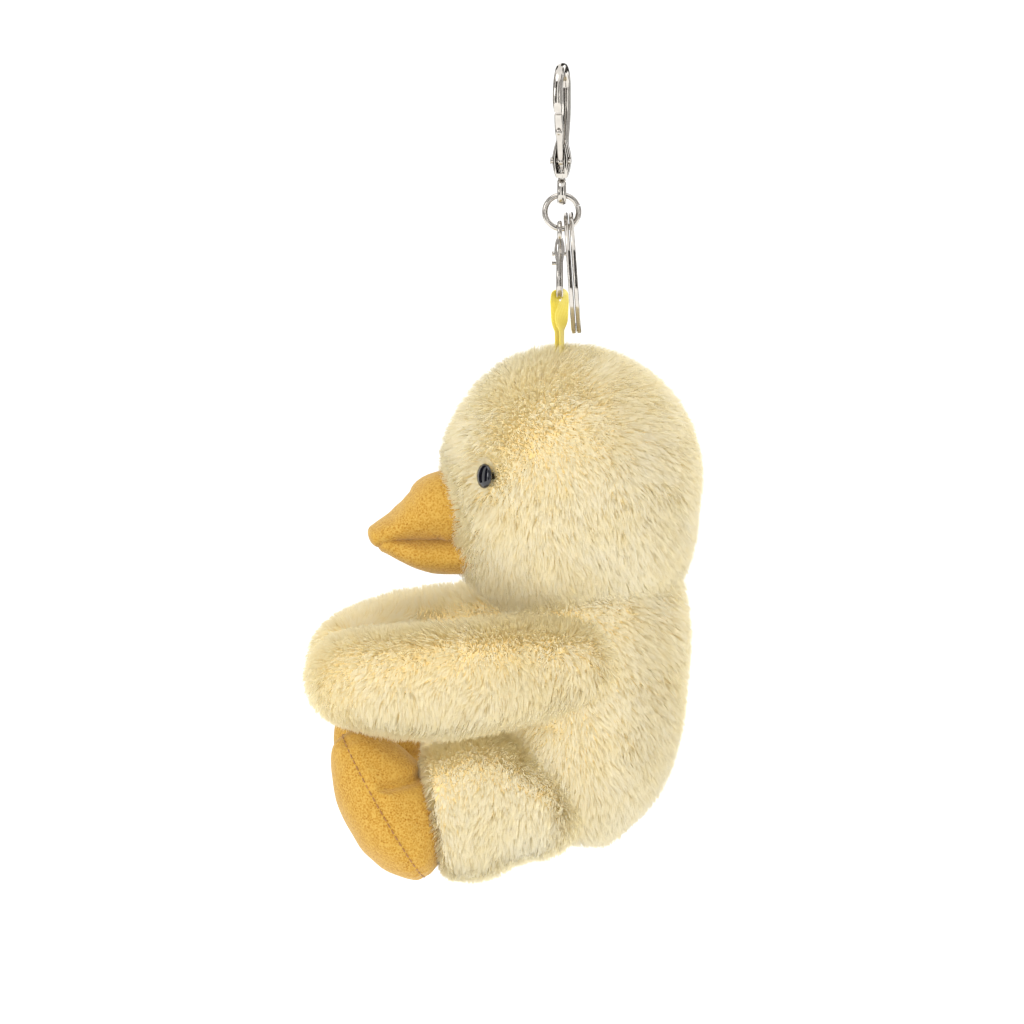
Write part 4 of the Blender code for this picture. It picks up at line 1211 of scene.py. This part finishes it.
def follow_leaders(roots, joints, leaders, chance):
    """Move the joints towards those of the nearest leader, and say which one that is."""
    tree = KDTree(len(leaders))
    for k, i in enumerate(leaders):
        tree.insert(roots[i], k)
    tree.balance()
    leader = leaders[np.array([tree.find(point)[1] for point in roots.tolist()])]
    pull = chance.uniform(0.2, 0.65, (len(roots), 1))
    for k, share in enumerate(FOLLOW, 1):
        joints[k] = joints[k] + (joints[k][leader] - joints[k]) * pull * share
    return leader


print("bends of", np.degrees(BENDS).round(), "degrees, one clump per", in_mm([CLUMP]), "mm")

# %% [markdown]
# ## Growing
# Where a limb presses on the body there is no room for pile, and nobody would see it, so tufts
# that would stand deep inside a neighbour are left out. The pile casts no shadow of its own:
# its translucent blades carry painted shade in their golden roots instead.


# %% Grow tufts
def grow(name, form, count, comb, length, shade, body_name, seed, hidden_by=(), keep=None):
    chance = np.random.default_rng(seed)
    roots, normals = form.scatter(count, chance)
    seen = np.ones(count, bool)
    for other, deep in hidden_by:
        seen &= other.depth(roots) < deep
    if keep is not None:
        seen &= keep(roots)
    roots, normals = roots[seen], normals[seen]
    count = len(roots)
    flow = comb(roots, normals)
    firm = np.minimum(np.linalg.norm(flow, axis=1, keepdims=True), 1)
    flow = unit(unit(flow) + chance.normal(0, 0.22, (count, 3)))
    flow = unit(flow - normals * dots(flow, normals))
    reach = (length(roots) * chance.uniform(0.82, 1.12, count))[:, None]
    joints = bend(roots, normals, flow, firm, reach, chance)
    clumps = max(8, int(form.areas.sum() * seen.mean() / CLUMP**2))
    leader = follow_leaders(roots, joints, chance.permutation(count)[:clumps], chance)
    along = unit(joints[3] - joints[1])
    side = unit(np.cross(normals, along))
    roll = chance.normal(0, 0.45, (count, 1))
    face = np.cross(along, side)
    side = unit(side * np.cos(roll) + face * np.sin(roll))
    facing = unit(normals + along * 0.25 + chance.normal(0, 0.07, (count, 3)))
    tone = shade(roots) + chance.normal(0, 0.06, count) + chance.normal(0, 0.08, count)[leader]
    mesh = tuft_mesh(name, joints, side, facing, np.clip(tone, 0.02, 0.98))
    mesh.materials.append(butter_pile.material)
    made = bpy.data.objects.new(name, mesh)
    studio.collection.objects.link(made)
    made.visible_shadow = False
    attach(made, body_name)
    print(name, count, "tufts")


print("grower ready")

# %% [markdown]
# ## The coat
# The head and the body are each planted in slices from front to back, so that no one mesh
# grows too large. The legs are bare where the feet are sewn on.

# %% Coat of the head
HEAD_TUFTS, BODY_TUFTS, ARM_TUFTS, LEG_TUFTS = 100000, 74000, 39000, 38000
HEAD_SLICES = (
    lambda p: p[:, 1] < HEAD_CENTRE.y - 8 * MM,
    lambda p: abs(p[:, 1] - HEAD_CENTRE.y - 1 * MM) <= 9 * MM,
    lambda p: p[:, 1] > HEAD_CENTRE.y + 10 * MM,
)
head_skin, body_skin = forms["head_backing"], forms["body_backing"]
coat = head_comb, head_length, head_shade
for k, keep in enumerate(HEAD_SLICES):
    inside = [(body_skin, 2.0 * MM)]
    grow(f"head_pile_{k}", head_skin, HEAD_TUFTS, *coat, "head", 20 + k, inside, keep)

# %% Coat of the body
BODY_SLICES = (lambda p: p[:, 1] < 12 * MM, lambda p: p[:, 1] >= 12 * MM)
coat = brushed((0, 0.3, -0.95)), even_length, plain_shade
for k, keep in enumerate(BODY_SLICES):
    inside = [(head_skin, 2.0 * MM), *((forms[limb.name], 2.5 * MM) for limb in limbs)]
    grow(f"body_pile_{k}", body_skin, BODY_TUFTS, *coat, "torso", 30 + k, inside, keep)


# %% Coat of the limbs
def not_under_foot(points):
    return points[:, 1] > -33.5 * MM


inside = [(body_skin, 3.0 * MM)]
for label, side in (("left", 1), ("right", -1)):
    skin = forms[f"arm_backing_{label}"]
    coat = brushed((side * 0.66, -0.2, -0.72)), limb_length, arm_shade
    grow(f"arm_pile_{label}", skin, ARM_TUFTS, *coat, f"arm_{label}", 40 + side, inside)
    skin = forms[f"leg_backing_{label}"]
    coat = brushed((side * 0.6, 0.1, -0.79)), limb_length, plain_shade
    grow(f"leg_pile_{label}", skin, LEG_TUFTS, *coat, f"leg_{label}", 50 + side, inside, not_under_foot)

# %% [markdown]
# ## Suede
# The beak and the feet are golden microsuede: a short, dense nap that scatters light in specks.
# Brushed one way the nap catches the light, brushed the other way it looks dark; that sheen is
# painted here as wide soft lighter patches over the fine grain.

# %% Suede
suede = Recipe(
    "golden_suede", Roughness=0.92, Sheen_Weight=0.35, Sheen_Roughness=0.45, Specular_IOR_Level=0.15
)
suede.shader.inputs["Sheen Tint"].default_value = (1, 0.86, 0.6, 1)
suede_place = suede.place()
nap = suede.noise(suede_place, 0.42 * MM, 3, 0.65)
specks = suede.node("TexVoronoi", {}, {"Vector": suede_place, "Scale": 1 / (0.55 * MM)})
# Patches of nap brushed two ways; their sheen is painted as a lighter colour.
brushed_sheen_mask = suede.noise(suede_place, 7 * MM, 2, 0.5)
shades = (0.30, dye(128, 78, 21)), (0.47, dye(169, 123, 43)), (0.70, dye(192, 154, 74))
grain = suede.ramp(nap * 0.75 + specks * 0.4, *shades)
brushed_nap_sheen = suede.ramp(brushed_sheen_mask, (0.35, (0, 0, 0)), (0.7, (1, 1, 1))) * 0.35
suede.feed(Base_Color=suede.mix(brushed_nap_sheen, grain, dye(187, 148, 65)))
suede.bump(nap * 0.7 + specks * 0.5, 0.16 * MM, 0.8)
print("suede mixed")

# %% Thread
thread_recipe = Recipe("golden_thread", Roughness=0.6, Sheen_Weight=0.3)
plies = {"Vector": thread_recipe.place(), "Scale": 1 / (0.5 * MM)}
ply = thread_recipe.node("TexWave", {"bands_direction": "DIAGONAL"}, plies)
thread_recipe.feed(Base_Color=thread_recipe.mix(ply, dye(128, 80, 26), dye(166, 112, 44)))
thread_recipe.bump(ply, 0.04 * MM)
print("thread mixed")

# %% [markdown]
# ## Beak
# Two stuffed halves are sewn to the face. The upper half is tall at the face and narrows to a
# rounded nub that tips up a little; the lower half is a flat lip under it. They press on each
# other in a soft crease, the mouth.

# %% Beak
BEAK_UPPER = millimetres(
    (-10.0, 7.3, 11.8, 9.4), (-0.9, 7.7, 11.2, 9.1), (4.0, 9.8, 10.0, 6.7), (8.0, 11.6, 8.6, 4.8),
    (10.9, 12.8, 7.7, 3.6), (13.0, 13.8, 6.9, 3.3), (14.6, 14.6, 5.8, 2.9),
)
BEAK_LOWER = millimetres(
    (-12.0, 18.0, 10.8, 5.0), (-0.3, 18.9, 10.3, 4.9), (7.3, 17.6, 8.6, 3.9), (12.3, 16.2, 6.4, 2.6),
)
BEAK_TIP = 2.3 * MM


def points_of(made):
    return np.array([v.co for v in made.data.vertices])


def normals_of(made):
    return np.array([v.normal for v in made.data.vertices])


def move_points(made, points):
    made.data.vertices.foreach_set("co", points.astype(np.float32).reshape(-1))
    made.data.update()


def sewn_beak(name, ribs, *nodes):
    face = HEAD_CENTRE.y - HEAD_RADIUS
    rows = [(0, face - out, HEAD_CENTRE.z - below, *halves) for out, below, *halves in ribs]
    made = piece(name, soft_form(rows, UP, BEAK_TIP, sides=72, steps=7), suede, smooth_angle=80)
    points = points_of(made)
    uneven = ripple(points, 11 * MM, 61) * 0.28 * MM + ripple(points, 4 * MM, 62) * 0.1 * MM
    move_points(made, points + normals_of(made) * uneven[:, None])
    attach(made, "head")
    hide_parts(*nodes)


sewn_beak("beak_top", BEAK_UPPER, "beak_upper", "beak_filling")
sewn_beak("beak_bottom", BEAK_LOWER, "beak_lower")
print("beak sewn")

# %% [markdown]
# ## Feet
# A foot is two leaf-shaped panels of suede, sewn edge to edge and stuffed. The panels are cut
# and joined here as a flat pillow, and then cloth simulation blows it up: the seam is held and
# the panels swell, as with stuffing. Cloth behaves best on things the size of clothes, so the
# pillow is simulated twenty times larger and shrunk back.

# %% Panels
PANEL = dict(wide=14.8 * MM, toe=22.4 * MM, heel=19.0 * MM, front=10.8 * MM, back=14.6 * MM)
TOE_POWER, HEEL_POWER = 1.75, 2.3


def panel_edge(turn):
    x, z = math.cos(turn), math.sin(turn)
    power = TOE_POWER if z > 0 else HEEL_POWER
    swell = (abs(x) ** power + abs(z) ** power) ** (1 / power)
    return Vector((PANEL["wide"] * x / swell, 0, PANEL["toe" if z > 0 else "heel"] * z / swell))


def flat_pillow(share):
    """Two panels joined at the edge, already stuffed to a share of their full height."""
    rings = []
    steps = np.linspace(0.06, 1.0, 16)
    edge = [panel_edge(t) for t in np.linspace(0, FULL_TURN, 72, endpoint=False)]
    for way, reach in ((-PANEL["front"], steps), (PANEL["back"], steps[-2::-1])):
        for r in reach:
            rings.append([point * r + ACROSS * way * share * (1 - r**2.5) ** 0.66 for point in edge])
    return skinned(rings)


print("panel:", in_mm([2 * PANEL["wide"], PANEL["toe"] + PANEL["heel"]]), "mm")

# %% [markdown]
# ## Stuffing
# The cloth needs an even grid, so the pillow is remeshed first. What the pressure adds is
# capped, which keeps the foot at its measured size.

# %% Stuff a foot
SIM_SCALE, SIM_FRAMES, SIM_PRESSURE = 20, 20, 60.0
SIM_GRID, SEAM_HELD, SWELL_CAP = 1.1 * MM, 1.2 * MM, 1.4 * MM
BEFORE_STUFFING = 0.88


def stuff_with_cloth(made):
    """Swell a closed mesh with cloth pressure. Its seam, where y is near 0, stays put."""
    made.data.transform(Matrix.Scale(SIM_SCALE, 4))
    remesh = made.modifiers.new("even_grid", "REMESH")
    remesh.mode, remesh.voxel_size = "VOXEL", SIM_GRID * SIM_SCALE
    settle(made)
    before = points_of(made)
    held = made.vertex_groups.new(name="seam")
    held.add(np.flatnonzero(abs(before[:, 1]) < SEAM_HELD * SIM_SCALE).tolist(), 1.0, "REPLACE")
    cloth = made.modifiers.new("stuffing", "CLOTH")
    cloth.settings.use_pressure = True
    cloth.settings.uniform_pressure_force = SIM_PRESSURE
    cloth.settings.vertex_group_mass = "seam"
    cloth.settings.effector_weights.gravity = 0
    for now in range(1, SIM_FRAMES + 1):
        studio.frame_set(now)
    settle(made)
    studio.frame_set(1)
    moved = points_of(made) - before
    far = np.linalg.norm(moved, axis=1, keepdims=True)
    moved *= np.minimum(1, SWELL_CAP * SIM_SCALE / np.maximum(far, 1e-9))
    move_points(made, (before + moved) / SIM_SCALE)
    swell = np.linalg.norm(moved, axis=1).max() / SIM_SCALE
    print("swelled by", in_mm([float(swell)]), "mm")


share = BEFORE_STUFFING
pillow = piece("foot_pillow", flat_pillow(share), suede, smooth_angle=80)
stuff_with_cloth(pillow)
print("pillow points:", len(pillow.data.vertices))

# %% [markdown]
# ## Groove, puckers and fold
# The stitches pull the seam into a groove and gather the suede beside it. Across the back of
# the foot, where the sole bends up, the stuffing leaves a fold. All three are sums on the
# points of the pillow, and a last subdivision smooths them.

# %% Shape a foot
GROOVE_DEPTH, GROOVE_WIDE = 0.75 * MM, 0.9 * MM
PUCKERS, PUCKER_DEPTH, PUCKER_WIDE = 31, 0.16 * MM, 2.6 * MM
FOLD_DEPTH, FOLD_WIDE, FOLD_AT, FOLD_SLANT = 2.3 * MM, 1.3 * MM, 8.5 * MM, 0.35

points, normals = points_of(pillow), normals_of(pillow)
around = np.arctan2(points[:, 2], points[:, 0])
off_seam = abs(points[:, 1])
inward = unit(-points * np.array([1, 0, 1]))
groove = inward * (GROOVE_DEPTH * np.exp(-((off_seam / GROOVE_WIDE) ** 2)))[:, None]
gathers = np.sin(around * PUCKERS) * PUCKER_DEPTH * np.exp(-off_seam / PUCKER_WIDE)
pucker = normals * (gathers + ripple(points, 9 * MM, 71) * 0.3 * MM)[:, None]
off_fold = abs(points[:, 2] - (FOLD_AT - FOLD_SLANT * points[:, 1]))
behind = ease(points[:, 1], 0.5 * MM, 4 * MM)
fold = -normals * (FOLD_DEPTH * np.exp(-((off_fold / FOLD_WIDE) ** 2)) * behind)[:, None]
move_points(pillow, points + groove + pucker + fold)
smoother = pillow.modifiers.new("smoother", "SUBSURF")
smoother.levels = smoother.render_levels = 1
settle(pillow)
print("pillow points:", len(pillow.data.vertices))

# %% [markdown]
# ## Stitches
# Each stitch is a short arc of thread that rises out of the seam and dives in again. They are
# spaced by the length walked along the edge, so they stay even round the toe and the heel.

# %% Stitches
STITCH, STITCH_GAP, THREAD, IN_GROOVE = 1.3 * MM, 0.5 * MM, 0.13 * MM, 0.962


def stitches(name, place):
    """Short stitches in the groove round the whole foot."""
    turns = np.linspace(0, FULL_TURN, 721)
    line = [panel_edge(t) * IN_GROOVE for t in turns]
    strides = [(b - a).length for a, b in zip(line, line[1:])]
    walked = np.concatenate([[0], np.cumsum(strides)])
    bm = bmesh.new()
    for start in np.arange(0, walked[-1] - STITCH, STITCH + STITCH_GAP):
        path = []
        for k in range(6):
            edge = panel_edge(np.interp(start + STITCH * k / 5, walked, turns))
            rise = math.sin(math.pi * k / 5)
            point = edge * IN_GROOVE + edge.normalized() * (THREAD * (0.2 + rise))
            thick = THREAD * (0.55 + 0.45 * rise)
            path.append((point, thick, thick * 1.3))
        stitch = swept(path, ACROSS, 8)
        mesh = bpy.data.meshes.new("stitch")
        stitch.to_mesh(mesh)
        stitch.free()
        bm.from_mesh(mesh)
        bpy.data.meshes.remove(mesh)
    return piece(name, bm, thread_recipe, place)


print("thread ready")

# %% [markdown]
# ## Sewing on
# One stuffed foot serves both legs: it is copied, mirrored for the right leg and tilted back.
# A mirrored mesh is inside out, so its faces are flipped.

# %% Sew both feet
FOOT_TILT = Matrix.Rotation(math.radians(30), 4, "X")
for label, side in (("left", 1), ("right", -1)):
    ankle = Vector((side * 17.5 * MM, -42.4 * MM, NECK.z - 47.2 * MM))
    place = Matrix.Translation(ankle) @ FOOT_TILT @ Matrix.Diagonal((side, 1, 1, 1))
    foot = bpy.data.objects.new(f"foot_pillow_{label}", pillow.data.copy())
    studio.collection.objects.link(foot)
    foot.data.transform(place)
    if side < 0:
        foot.data.flip_normals()
    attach(foot, f"leg_{label}")
    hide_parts(f"foot_cover_{label}", f"foot_filling_{label}")
    seam = stitches(f"foot_stitches_{label}", place)
    if side < 0:
        seam.data.flip_normals()
    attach(seam, f"leg_{label}")
bpy.data.objects.remove(pillow)
print("feet sewn")

# %% [markdown]
# ## Eyes
# A moulded black dome on a shank goes through the cloth and a washer locks it behind. Only the
# polished dome shows, so it is turned as a smooth profile. The finish is black plastic with a
# clear skin and the faint dust that plush sheds. The washers keep their shape and get a finish.

# %% Plastics
eye_black = Recipe("black_eye", Coat_Weight=0.3, Coat_Roughness=0.03, Specular_IOR_Level=0.6)
dust = eye_black.noise(eye_black.place(), 0.5 * MM, 4, 0.6)
dusty = eye_black.mix(dust, dye(5, 5, 9), dye(18, 18, 26))
eye_black.feed(Base_Color=dusty, Roughness=dust * 0.12 + 0.03)
eye_black.bump(dust, 0.004 * MM, 0.4)
washer_plastic = Recipe("washer_plastic")
mottle = washer_plastic.noise(washer_plastic.place(), 1.2 * MM)
mottled = washer_plastic.mix(mottle, dye(228, 226, 218), dye(244, 243, 238))
washer_plastic.feed(Base_Color=mottled, Roughness=mottle * 0.2 + 0.35)
washer_plastic.bump(mottle, 0.02 * MM)
print("plastics mixed")

# %% Eyes
EYE_RADIUS, EYE_DOME, EYE_SINK, EYE_RIM = 3.0 * MM, 1.2 * MM, 1.7 * MM, 0.3 * MM
SHANK_RADIUS, SHANK_LENGTH, EYE_GAZE = 1.0 * MM, 8.8 * MM, math.radians(33)
DOME_TURNS = np.radians((12, 24, 36, 48, 58, 68, 77, 85))
profile = [(-SHANK_LENGTH, SHANK_RADIUS), (-EYE_RIM, SHANK_RADIUS)]
profile += [(-EYE_RIM, EYE_RADIUS * 0.93), (0.0, EYE_RADIUS)]
profile += [(EYE_DOME * math.sin(t), EYE_RADIUS * math.cos(t)) for t in DOME_TURNS]
for label, out in zip(("left", "right"), EYE_OUT):
    rings = [oval(Vector((0, 0, z)), Vector((r, 0, 0)), ACROSS * r, 48) for z, r in profile]
    gaze = Vector((math.copysign(math.sin(EYE_GAZE), out.x), -math.cos(EYE_GAZE), 0.1))
    turn = gaze.to_track_quat("Z", "Y").to_matrix().to_4x4()
    place = Matrix.Translation(HEAD_CENTRE + out * (HEAD_RADIUS - EYE_SINK)) @ turn
    dome = piece(f"eye_dome_{label}", skinned(rings), eye_black, place)
    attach(dome, "head")
    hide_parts(f"eye_{label}")
    washer = frame["nodes"][f"eye_washer_{label}"].data
    washer.materials.clear()
    washer.materials.append(washer_plastic.material)
print("eyes set")
